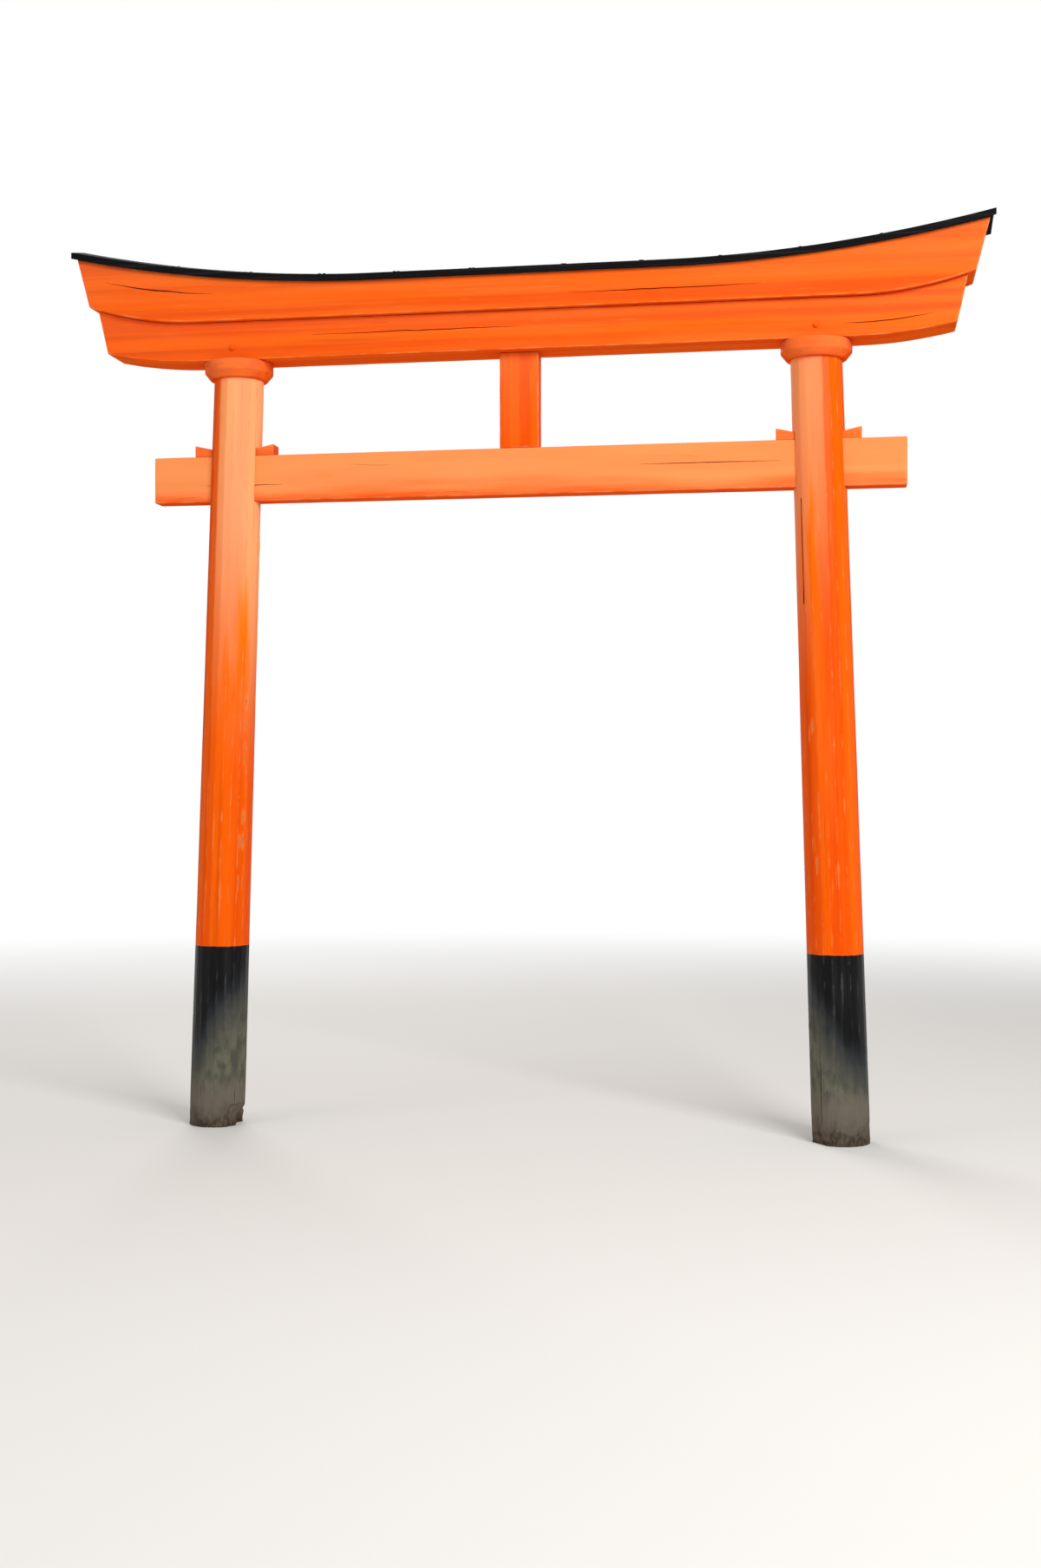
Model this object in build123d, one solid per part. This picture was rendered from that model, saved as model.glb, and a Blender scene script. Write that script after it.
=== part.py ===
"""One wooden torii gate: two round posts that lean in, a wedged tie beam and two upswept lintels.

Millimetres, +Z up. The front faces -Y, X runs across the passage, and the ground is z = 0.
The model is laid out about the middle of the gate. Each piece is then shifted across, so that
the origin of the finished part is the centre of the left post's foot, on the ground.
"""
from build123d import *
from math import cos, radians, sqrt, tan
import os

LEFT, RIGHT = -1, 1
FRONT, BACK = -1, 1

# Posts: tapered logs, set in the ground, that lean towards each other
post_spacing = 1890.0
post_foot_diameter = 172.0
post_head_diameter = 154.0
post_lean = 1.8

# Black root section of each post, spliced on below the paint line
root_height = 550.0
splice_width = 66.0
splice_length = 90.0

# Tie beam, threaded through both posts and wedged from above
beam_underside = 1900.0
beam_depth = 140.0
beam_thickness = 66.0
beam_overhang = 172.0
beam_edge_chamfer = 4.0
cheek_gap = 1.0

# Wedges, driven over the tie beam from both sides of each post
wedge_tip = 7.0
wedge_slope = 0.22
wedge_proud = 46.0
wedge_tip_gap = 6.0

# Strut that stands on the middle of the tie beam
strut_height = 285.0
strut_width = 118.0
strut_thickness = 56.0
strut_tenon_width = 60.0
strut_tenon_thickness = 22.0
strut_tenon_length = 20.0

# Ring on the head of each post
ring_height = 54.0
ring_diameter = 208.0
ring_foot_diameter = 172.0
ring_bevel_height = 22.0

# Tenon at each post's head, through the ring into the lower lintel, with its cross pin
head_tenon_width = 62.0
head_tenon_thickness = 44.0
head_tenon_length = 72.0
pin_diameter = 18.0
pin_height = 38.0
pin_proud = 5.0
pin_chamfer = 2.0

# Lintels: level over the posts, then swept up to raking ends
lower_lintel_depth = 116.0
lower_lintel_thickness = 132.0
lower_lintel_overhang = 400.0
upper_lintel_depth = 104.0
upper_lintel_thickness = 172.0
upper_lintel_overhang = 452.0
lintel_seat_margin = 8.0
underside_rise = 44.0
bed_rise = 56.0
ridge_rise = 92.0
ridge_level_half = 430.0
end_rake = 0.24
roof_slope = 0.27
lintel_edge_chamfer = 3.0

# Black coping boards on the upper lintel
coping_thickness = 20.0
coping_overhang = 14.0

# Play in the joints: beside each tenon or pin, and past the end of each tenon in a blind mortise
joint_clearance = 0.3
mortise_clearance = 2.0

# Long drying check in the right root: height of its middle, angle round the log, and its size
root_check_height = 165.0
root_check_angle = 205.0
root_check_length = 330.0
root_check_width = 9.0
root_check_depth = 34.0

# Drying check under the tie beam in the right post, measured down from the beam
shaft_check_drop = 190.0
shaft_check_angle = 222.0
shaft_check_length = 300.0
shaft_check_width = 8.0
shaft_check_depth = 30.0

# Rot at the ground in the left root: a shelf where the outer wood has gone, and a split above it
rot_angle = 330.0
rot_width = 60.0
rot_height = 71.0
rot_depth = 9.0
rot_split_length = 96.0
rot_split_width = 6.0
rot_split_depth = 20.0

# Hollow beside the shelf, deepest at the ground: angle round the log, height and depth
hollow_angle = 5.0
hollow_height = 76.0
hollow_depth = 25.0

# Heights and places that follow from the sizes
half_spacing = post_spacing / 2
lean_run = tan(radians(post_lean))
beam_top = beam_underside + beam_depth
lintel_underside = beam_top + strut_height
post_head = lintel_underside - ring_height
lintel_bed = lintel_underside + lower_lintel_depth
ridge_height = lintel_bed + upper_lintel_depth + roof_slope * upper_lintel_thickness / 2
log_length = post_head / cos(radians(post_lean))


def post_axis_x(height, side):
    """Where a post's axis is, across the gate, at a height above the ground."""
    return side * (half_spacing - height * lean_run)


def post_radius(height):
    """The log's radius at a height, tapering evenly from foot to head."""
    taper = (post_head_diameter - post_foot_diameter) / 2 / post_head
    return post_foot_diameter / 2 + taper * height


def on_log(side):
    """Location of a log whose own axis starts upright at its foot."""
    return Pos(side * half_spacing, 0, 0) * Rot(0, -side * post_lean, 0)


def upright_block(x, bottom, width, thickness, height):
    """A plain rectangular block, such as a tenon, that stands at x."""
    return Pos(x, 0, bottom) * Box(width, thickness, height, align=(Align.CENTER, Align.CENTER, Align.MIN))


def level_slab(bottom, top):
    """A slab wider than the gate between two heights, for cutting logs level."""
    reach = post_spacing + post_foot_diameter
    return upright_block(0, bottom, 2 * reach, reach, top - bottom)


def whole_log(side):
    """The whole tapered log of a post, cut level at the ground and at the head."""
    spare = post_foot_diameter / 4
    log = Cone(
        post_radius(-spare),
        post_radius(post_head + spare),
        log_length + 2 * spare,
        align=(Align.CENTER, Align.CENTER, Align.MIN),
    )
    return on_log(side) * Pos(0, 0, -spare) * log & level_slab(0, post_head)


def mortise(x, bottom, width, thickness, height):
    """The hole for a tenon of the given width and thickness, with play at its cheeks."""
    return upright_block(x, bottom, width + 2 * joint_clearance, thickness + 2 * joint_clearance, height)


def drying_check(side, height, angle, length, width, depth):
    """A V-shaped split along a log: widest in the middle of its length, closing inwards and at both ends."""
    surface = post_radius(height)
    mouth = make_face(
        ThreePointArc((0, -length / 2), (width / 2, 0), (0, length / 2))
        + ThreePointArc((0, length / 2), (-width / 2, 0), (0, -length / 2))
    )
    lens = Plane(origin=(surface + depth, 0, height), x_dir=(0, 1, 0), z_dir=(-1, 0, 0)) * mouth
    lens = extrude(lens, amount=2 * depth)
    # The V is drawn out past the log's surface, as far again as it goes in, and so twice as wide there.
    outer = surface + depth
    vee = make_face(Polyline((surface - depth, 0), (outer, width), (outer, -width), close=True))
    vee = extrude(Plane.XY.offset(height - length / 2) * vee, amount=length)
    return on_log(side) * Rot(0, 0, angle) * (lens & vee)


def rotted_foot(side):
    """What rot has taken from a root: a shelf and a round hollow at the ground, and a split up from there."""
    shelf = Pos(post_radius(0), 0, 0) * Box(2 * rot_depth, rot_width, 2 * rot_height)
    shelf = on_log(side) * Rot(0, 0, rot_angle) * shelf
    split_size = (rot_split_length, rot_split_width, rot_split_depth)
    split = drying_check(side, rot_height, rot_angle, *split_size)
    # The ball that scoops out the hollow runs out at the log's surface, at the hollow's height.
    ball_radius = (hollow_height**2 + hollow_depth**2) / (2 * hollow_depth)
    ball = Pos(post_radius(0) - hollow_depth + ball_radius, 0, 0) * Sphere(ball_radius)
    hollow = on_log(side) * Rot(0, 0, hollow_angle) * ball
    return shelf + split + hollow


def wedge_roof(distance):
    """Height of a wedge's top face at a distance from the post's axis."""
    return beam_top + wedge_tip + wedge_slope * distance


def beam_mortise(side):
    """The slot through a post for the tie beam, with a roof that falls to the middle for the wedges."""
    x = post_axis_x(beam_top, side)
    reach = post_foot_diameter
    outline = Polyline(
        (x - reach, beam_underside),
        (x + reach, beam_underside),
        (x + reach, wedge_roof(reach)),
        (x, wedge_roof(0)),
        (x - reach, wedge_roof(reach)),
        close=True,
    )
    return extrude(Plane.XZ * make_face(outline), amount=beam_thickness / 2 + cheek_gap, both=True)


def post(side):
    """The vermilion shaft of a post, from the paint line to the head, with its tenons and mortise."""
    shaft = whole_log(side) & level_slab(root_height, post_head)
    splice_x = post_axis_x(root_height, side)
    shaft += upright_block(splice_x, root_height - splice_length, splice_width, splice_width, splice_length)
    head_x = post_axis_x(post_head, side)
    head_length = ring_height + head_tenon_length
    shaft += upright_block(head_x, post_head, head_tenon_width, head_tenon_thickness, head_length)
    shaft -= beam_mortise(side)
    shaft -= pin_hole(side)
    if side == RIGHT:
        height = beam_underside - shaft_check_drop
        check = (shaft_check_angle, shaft_check_length, shaft_check_width, shaft_check_depth)
        shaft -= drying_check(side, height, *check)
    return shaft


def post_root(side):
    """The black root section of a post, from the ground to the paint line."""
    root = whole_log(side) & level_slab(0, root_height)
    depth = splice_length + mortise_clearance
    splice_x = post_axis_x(root_height, side)
    root -= mortise(splice_x, root_height - depth, splice_width, splice_width, depth)
    if side == LEFT:
        root -= rotted_foot(side)
    else:
        check = (root_check_angle, root_check_length, root_check_width, root_check_depth)
        root -= drying_check(side, root_check_height, *check)
    return root


def on_pin(side):
    """Location of a head tenon's cross pin, whose own axis then runs from front to back."""
    return Pos(post_axis_x(post_head, side), 0, lintel_underside + pin_height) * Rot(90, 0, 0)


def cross_pin(side):
    """The round pin through the lower lintel and a post's head tenon, with eased ends."""
    pin = Cylinder(pin_diameter / 2, lower_lintel_thickness + 2 * pin_proud)
    pin = chamfer(pin.edges().filter_by(GeomType.CIRCLE), pin_chamfer)
    return on_pin(side) * pin


def pin_hole(side):
    """The hole for a cross pin, from front to back."""
    return on_pin(side) * Cylinder(pin_diameter / 2 + joint_clearance, lower_lintel_thickness)


def capital_ring(side):
    """The ring on a post's head: a disc with a bevelled foot, pierced for the tenon."""
    foot, rim = ring_foot_diameter / 2, ring_diameter / 2
    section = Polyline(
        (0, 0), (foot, 0), (rim, ring_bevel_height), (rim, ring_height), (0, ring_height), close=True
    )
    x = post_axis_x(post_head, side)
    ring = Pos(x, 0, post_head) * revolve(Plane.XZ * make_face(section), axis=Axis.Z)
    return ring - mortise(x, post_head, head_tenon_width, head_tenon_thickness, ring_height)


def tie_beam():
    """The straight beam through both posts, with eased edges and a mortise for the strut."""
    mid_height = beam_underside + beam_depth / 2
    half_length = post_axis_x(mid_height, RIGHT) + post_radius(mid_height) + beam_overhang
    beam = Pos(0, 0, mid_height) * Box(2 * half_length, beam_thickness, beam_depth)
    beam = chamfer(beam.edges(), beam_edge_chamfer)
    depth = strut_tenon_length + mortise_clearance
    return beam - mortise(0, beam_top - depth, strut_tenon_width, strut_tenon_thickness, depth)


def wedge(side, towards):
    """One wedge over the tie beam. It is driven towards the post's axis from the side it is named for."""
    x = post_axis_x(beam_top, side)
    tip = wedge_tip_gap / 2
    head = post_radius(beam_top) + wedge_proud
    outline = Polyline(
        (x + towards * tip, beam_top),
        (x + towards * head, beam_top),
        (x + towards * head, wedge_roof(head)),
        (x + towards * tip, wedge_roof(tip)),
        close=True,
    )
    seat = beam_thickness - 2 * beam_edge_chamfer
    return extrude(Plane.XZ * make_face(outline), amount=seat / 2, both=True)


def centre_strut():
    """The short strut between tie beam and lower lintel, with a stub tenon at each end."""
    strut = upright_block(0, beam_top, strut_width, strut_thickness, strut_height)
    strut = chamfer(strut.edges().filter_by(Axis.Z), beam_edge_chamfer)
    tenon_foot = beam_top - strut_tenon_length
    tenon_span = strut_height + 2 * strut_tenon_length
    return strut + upright_block(0, tenon_foot, strut_tenon_width, strut_tenon_thickness, tenon_span)


def lintel_reach(overhang):
    """How far a lintel's lower corner stands from the middle of the gate."""
    return post_axis_x(lintel_underside, RIGHT) + overhang


class Sweep:
    """The line of a lintel's edge: level in the middle, then rising on an arc towards the end."""

    def __init__(self, height, level_half, rise):
        run = lintel_reach(upper_lintel_overhang) - level_half
        self.height, self.level_half = height, level_half
        self.radius = (run**2 + rise**2) / (2 * rise)

    def at(self, x):
        """The line's height at a distance x from the middle."""
        run = max(0.0, x - self.level_half)
        return self.height + self.radius - sqrt(self.radius**2 - run**2)

    def lines(self, side, reach, lift=0.0):
        """The line's edges from the middle out to reach, on one side, raised by lift."""
        start = (side * self.level_half, self.height + lift)
        end = (side * reach, self.at(reach) + lift)
        return Line((0, self.height + lift), start) + TangentArc(start, end, tangent=(side, 0))


seat_half = lintel_reach(0) + ring_diameter / 2 + lintel_seat_margin
underside = Sweep(lintel_underside, seat_half, underside_rise)
bed = Sweep(lintel_bed, seat_half, bed_rise)
ridge = Sweep(ridge_height, ridge_level_half, ridge_rise)


def swept_profile(lower, upper, lower_reach):
    """Side view of a beam between two swept lines, with ends that rake outwards."""
    upper_reach = lower_reach + end_rake * (upper.at(lower_reach) - lower.at(lower_reach))
    outline = Line((lower_reach, lower.at(lower_reach)), (upper_reach, upper.at(upper_reach)))
    outline += Line((-lower_reach, lower.at(lower_reach)), (-upper_reach, upper.at(upper_reach)))
    for side in (LEFT, RIGHT):
        outline += lower.lines(side, lower_reach)
        outline += upper.lines(side, upper_reach)
    return make_face(outline), upper_reach


def down_slope(profile, facing, run):
    """A profile on the gate's centre plane, drawn out to the front or back along the roof's slope."""
    direction = Vector(0, facing, -roof_slope)
    return extrude(Plane.XZ * profile, amount=run * direction.length, dir=direction.normalized())


def above_ridge(reach):
    """Everything above the ridge line, in side view."""
    top = ridge.at(reach) + upper_lintel_thickness
    outline = Line((-reach, ridge.at(reach)), (-reach, top)) + Line((reach, ridge.at(reach)), (reach, top))
    outline += Line((-reach, top), (reach, top))
    for side in (LEFT, RIGHT):
        outline += ridge.lines(side, reach)
    return make_face(outline)


def lower_long_edges(beam, lower, upper):
    """The edges that run along the underside of a swept beam, on its front and back faces."""
    found = []
    for edge in beam.faces().filter_by(Axis.Y).edges():
        middle, along = edge @ 0.5, edge % 0.5
        mid_depth = (lower.at(abs(middle.X)) + upper.at(abs(middle.X))) / 2
        if abs(along.X) > abs(along.Z) and middle.Z < mid_depth:
            found.append(edge)
    return found


def lower_lintel():
    """The lower lintel, mortised for the post heads, their pins and the strut."""
    profile, _ = swept_profile(underside, bed, lintel_reach(lower_lintel_overhang))
    lintel = extrude(Plane.XZ * profile, amount=lower_lintel_thickness / 2, both=True)
    lintel = chamfer(lower_long_edges(lintel, underside, bed), lintel_edge_chamfer)
    depth = head_tenon_length + mortise_clearance
    for side in (LEFT, RIGHT):
        x = post_axis_x(post_head, side)
        lintel -= mortise(x, lintel_underside, head_tenon_width, head_tenon_thickness, depth)
        lintel -= pin_hole(side)
    depth = strut_tenon_length + mortise_clearance
    return lintel - mortise(0, lintel_underside, strut_tenon_width, strut_tenon_thickness, depth)


def upper_lintel():
    """The upper lintel: deeper towards its ends, with a top that falls to front and back."""
    profile, reach = swept_profile(bed, ridge, lintel_reach(upper_lintel_overhang))
    half = upper_lintel_thickness / 2
    lintel = extrude(Plane.XZ * profile, amount=half, both=True)
    lintel = chamfer(lower_long_edges(lintel, bed, ridge), lintel_edge_chamfer)
    spare = above_ridge(reach + half)
    for facing in (FRONT, BACK):
        lintel -= down_slope(spare, facing, upper_lintel_thickness)
    return lintel


def coping_board(facing, side):
    """One black board on the upper lintel's sloping top, from the middle joint to one end."""
    _, lintel_end = swept_profile(bed, ridge, lintel_reach(upper_lintel_overhang))
    reach = lintel_end + coping_overhang
    outline = ridge.lines(side, reach) + ridge.lines(side, reach, lift=coping_thickness)
    outline += Line((0, ridge_height), (0, ridge_height + coping_thickness))
    end = ridge.at(reach)
    outline += Line((side * reach, end), (side * reach, end + coping_thickness))
    return down_slope(make_face(outline), facing, upper_lintel_thickness / 2 + coping_overhang)


def gate():
    """Every piece of the gate by name, laid out about the middle of the passage."""
    pieces = {
        "tie_beam": tie_beam(),
        "centre_strut": centre_strut(),
        "lower_lintel": lower_lintel(),
        "upper_lintel": upper_lintel(),
    }
    for side, name in ((LEFT, "left"), (RIGHT, "right")):
        pieces[f"post_{name}"] = post(side)
        pieces[f"post_root_{name}"] = post_root(side)
        pieces[f"capital_ring_{name}"] = capital_ring(side)
        pieces[f"tenon_pin_{name}"] = cross_pin(side)
        pieces[f"wedge_{name}_outer"] = wedge(side, side)
        pieces[f"wedge_{name}_inner"] = wedge(side, -side)
        pieces[f"coping_front_{name}"] = coping_board(FRONT, side)
        pieces[f"coping_back_{name}"] = coping_board(BACK, side)
    return pieces


os.makedirs("parts", exist_ok=True)
for name, piece in gate().items():
    export_step(Pos(half_spacing, 0, 0) * piece, f"parts/{name}.step")
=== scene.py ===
"""A wooden torii gate as it stands outdoors: vermilion paint on cedar, sun-faded with a painted highlight
above, rotting at the foot.

Lengths are in metres in the part's own frame. X runs across the passage, the front faces -Y, and the ground
is at z = 0. The left post's foot is the origin.
"""

import logging
import math
import random
from abc import ABC, abstractmethod
from collections.abc import Iterable
from dataclasses import dataclass
from enum import Enum
from typing import Any, ClassVar

import bmesh
import bpy
from bmesh.types import BMEdge, BMesh, BMVert
from bpy.types import Node
from mathutils import Matrix, Vector, noise


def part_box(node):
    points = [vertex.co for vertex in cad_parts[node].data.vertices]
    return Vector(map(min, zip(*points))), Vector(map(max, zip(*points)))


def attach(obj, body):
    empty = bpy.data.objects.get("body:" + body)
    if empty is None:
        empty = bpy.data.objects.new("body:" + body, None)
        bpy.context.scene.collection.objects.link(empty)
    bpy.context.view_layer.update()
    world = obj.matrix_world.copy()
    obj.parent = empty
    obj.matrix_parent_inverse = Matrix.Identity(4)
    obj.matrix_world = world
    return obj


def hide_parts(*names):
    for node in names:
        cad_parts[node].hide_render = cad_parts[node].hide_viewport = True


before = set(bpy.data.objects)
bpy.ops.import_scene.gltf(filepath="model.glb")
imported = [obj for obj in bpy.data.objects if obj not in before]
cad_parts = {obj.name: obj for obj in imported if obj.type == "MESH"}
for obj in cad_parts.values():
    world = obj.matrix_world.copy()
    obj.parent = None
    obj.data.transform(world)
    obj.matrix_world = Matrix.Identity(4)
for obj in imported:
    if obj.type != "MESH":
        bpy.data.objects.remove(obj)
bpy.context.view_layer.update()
LOG = logging.getLogger("gate")
MM = 0.001
ALONG_X = 0
ALONG_Z = 2
UPWARDS = (0.0, 0.0, 1.0)
SIDEWAYS = (1.0, 0.0, 0.0)
# Vertices lie on one line of a sawn timber when they are this close to it.
ON_LINE = 0.1 * MM


class Way(Enum):
    """One of two opposite ways. A member's value is the sign of its place along the axis."""

    @property
    def word(self) -> str:
        """Its name as the part's nodes spell it."""
        return self.name.lower()


class Side(Way):
    """Left or right half of the gate, along X."""

    LEFT = -1
    RIGHT = 1


class Facing(Way):
    """Front or back of the gate, along Y."""

    FRONT = -1
    BACK = 1


class Drive(Way):
    """How a wedge is driven into its post: inwards from outside the gate, or outwards from the passage.

    The value is the sign of its head's place, from the post outwards.
    """

    OUTER = 1
    INNER = -1


class Slot(Enum):
    """The part's material slots."""

    VERMILION = "vermilion"
    BLACK_FOOT = "black_foot"
    BLACK_COPING = "black_coping"


def linear(colour: str) -> tuple[float, ...]:
    """Turns an sRGB hex colour into the linear values that shaders take.

    Args:
        colour: the colour as "#RRGGBB".

    Returns:
        Linear red, green and blue, and an alpha of 1.
    """
    channels = [int(colour[start : start + 2], 16) / 255 for start in (1, 3, 5)]
    values = [c / 12.92 if c <= 0.04045 else ((c + 0.055) / 1.055) ** 2.4 for c in channels]
    return (*values, 1.0)


def swell(point: Vector, size: float, seed: float) -> float:
    """Smooth noise in space from about -1 to 1, in swells that are size wide. The seed picks the pattern."""
    return noise.noise(point / size + Vector((seed, 0.37 * seed, -0.61 * seed)))


def ease_in(value: float, low: float, high: float) -> float:
    """A smooth step from 0 at low to 1 at high, which may lie below low."""
    share = min(1.0, max(0.0, (value - low) / (high - low)))
    return share * share * (3 - 2 * share)


@dataclass(frozen=True)
class Plan:
    """The places that the pieces share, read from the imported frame."""

    centre_x: float
    paint_line: float
    beam_low: float
    beam_top: float
    beam_half_length: float
    beam_thickness: float
    head: float
    underside: float
    bed: float
    foot_radius: float
    head_radius: float = 77 * MM
    lean: float = math.radians(1.8)
    wedge_tip: float = 7 * MM
    wedge_slope: float = 0.22

    @classmethod
    def from_frame(cls) -> "Plan":
        """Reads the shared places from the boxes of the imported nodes.

        Returns:
            The plan.
        """
        beam_low, beam_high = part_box("tie_beam")
        root_low, root_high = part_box("post_root_right")
        return cls(
            centre_x=(beam_low.x + beam_high.x) / 2,
            paint_line=root_high.z,
            beam_low=beam_low.z,
            beam_top=beam_high.z,
            beam_half_length=(beam_high.x - beam_low.x) / 2,
            beam_thickness=beam_high.y - beam_low.y,
            head=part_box("capital_ring_left")[0].z,
            underside=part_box("lower_lintel")[0].z,
            bed=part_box("upper_lintel")[0].z,
            foot_radius=(root_high.y - root_low.y) / 2,
        )

    def centre(self, height: float) -> Vector:
        """The middle of the gate at a height above the ground."""
        return Vector((self.centre_x, 0.0, height))

    def on_post(self, side: Side, height: float) -> Vector:
        """The middle of a post at a height above the ground."""
        away = self.centre_x - height * math.tan(self.lean)
        return Vector((self.centre_x + side.value * away, 0.0, height))

    def radius(self, height: float) -> float:
        """A post's radius at a height, before wear."""
        return self.foot_radius + (self.head_radius - self.foot_radius) * height / self.head


@dataclass(frozen=True)
class Place:
    """Where a pattern's own frame lies: Z runs along the wood's grain."""

    origin: Vector | tuple[float, float, float]
    turn: tuple[float, float, float] = (0.0, 0.0, 0.0)

    @classmethod
    def lengthwise(cls, origin: Vector | tuple[float, float, float]) -> "Place":
        """A pattern whose grain runs along X, as in the beams."""
        return cls(origin, (0.0, math.pi / 2, 0.0))


class Tree:
    """The node tree of a material or of the world, while it is being put together."""

    def __init__(self, owner: bpy.types.Material | bpy.types.World) -> None:
        """Starts an empty tree.

        Args:
            owner: the material or the world that it is for.
        """
        owner.use_nodes = True
        self.owner = owner
        self.tree = owner.node_tree
        self.tree.nodes.clear()

    def add(self, kind: str, inputs: dict[str | int, Any] | None = None, **settings: Any) -> Node:
        """Adds one node with its settings and links.

        Args:
            kind: the node's type, without the words that all shader nodes start with.
            inputs: by socket name or number, a value or hex colour to set, or a node or socket to link from.
            settings: the node's own options.

        Returns:
            The new node.
        """
        node = self.tree.nodes.new("ShaderNode" + kind)
        for option, value in settings.items():
            setattr(node, option, value)
        for key, value in (inputs or {}).items():
            if isinstance(key, int):
                socket = node.inputs[key]
            else:
                socket = next(s for s in node.inputs if s.name == key and s.enabled)
            if isinstance(value, Node):
                value = next(s for s in value.outputs if s.enabled)
            if isinstance(value, bpy.types.NodeSocket):
                self.tree.links.new(value, socket)
            else:
                socket.default_value = linear(value) if isinstance(value, str) else value
        return node

    def band(self, value: Any, low: float, high: float, most: Any = 1.0) -> Node:
        """A soft mask with clean ends.

        Args:
            value: what it is made from.
            low: where the mask is 0.
            high: where it is full, above low or below it.
            most: how much full is, as a number or a mask that this one lies in.

        Returns:
            The mask.
        """
        inputs = {"Value": value, "From Min": low, "From Max": high, "To Max": most}
        rise = self.add("MapRange", inputs, interpolation_type="SMOOTHSTEP")
        return self.add("Clamp", {"Value": rise})


@dataclass(frozen=True)
class Growth:
    """A pattern of noise drawn out along the grain, by the size of its features across it and along it.

    Its layer is a number that sets it apart from the timber's other patterns, and its detail says how many
    finer octaves it has. Its mask is 0 at low and reaches most at high. What it makes ragged strays by up
    to its reach.
    """

    across: float
    along: float
    layer: float
    detail: float = 3.0
    low: float = 0.0
    high: float = 1.0
    most: float = 1.0
    reach: float = 0.0


@dataclass(frozen=True)
class Spots:
    """Small spots in the middle of some cells, by the cells' size across the grain and along it.

    A spot ends at its rim and is full at its core, both measured in cells. Share is how many cells have one.
    """

    across: float
    along: float
    layer: float
    rim: float
    core: float
    share: float


@dataclass(frozen=True)
class Splits:
    """Thin splits along the grain: how far apart they can lie, how wide the widest is, and their layer."""

    spacing: float
    width: float
    layer: float


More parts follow.
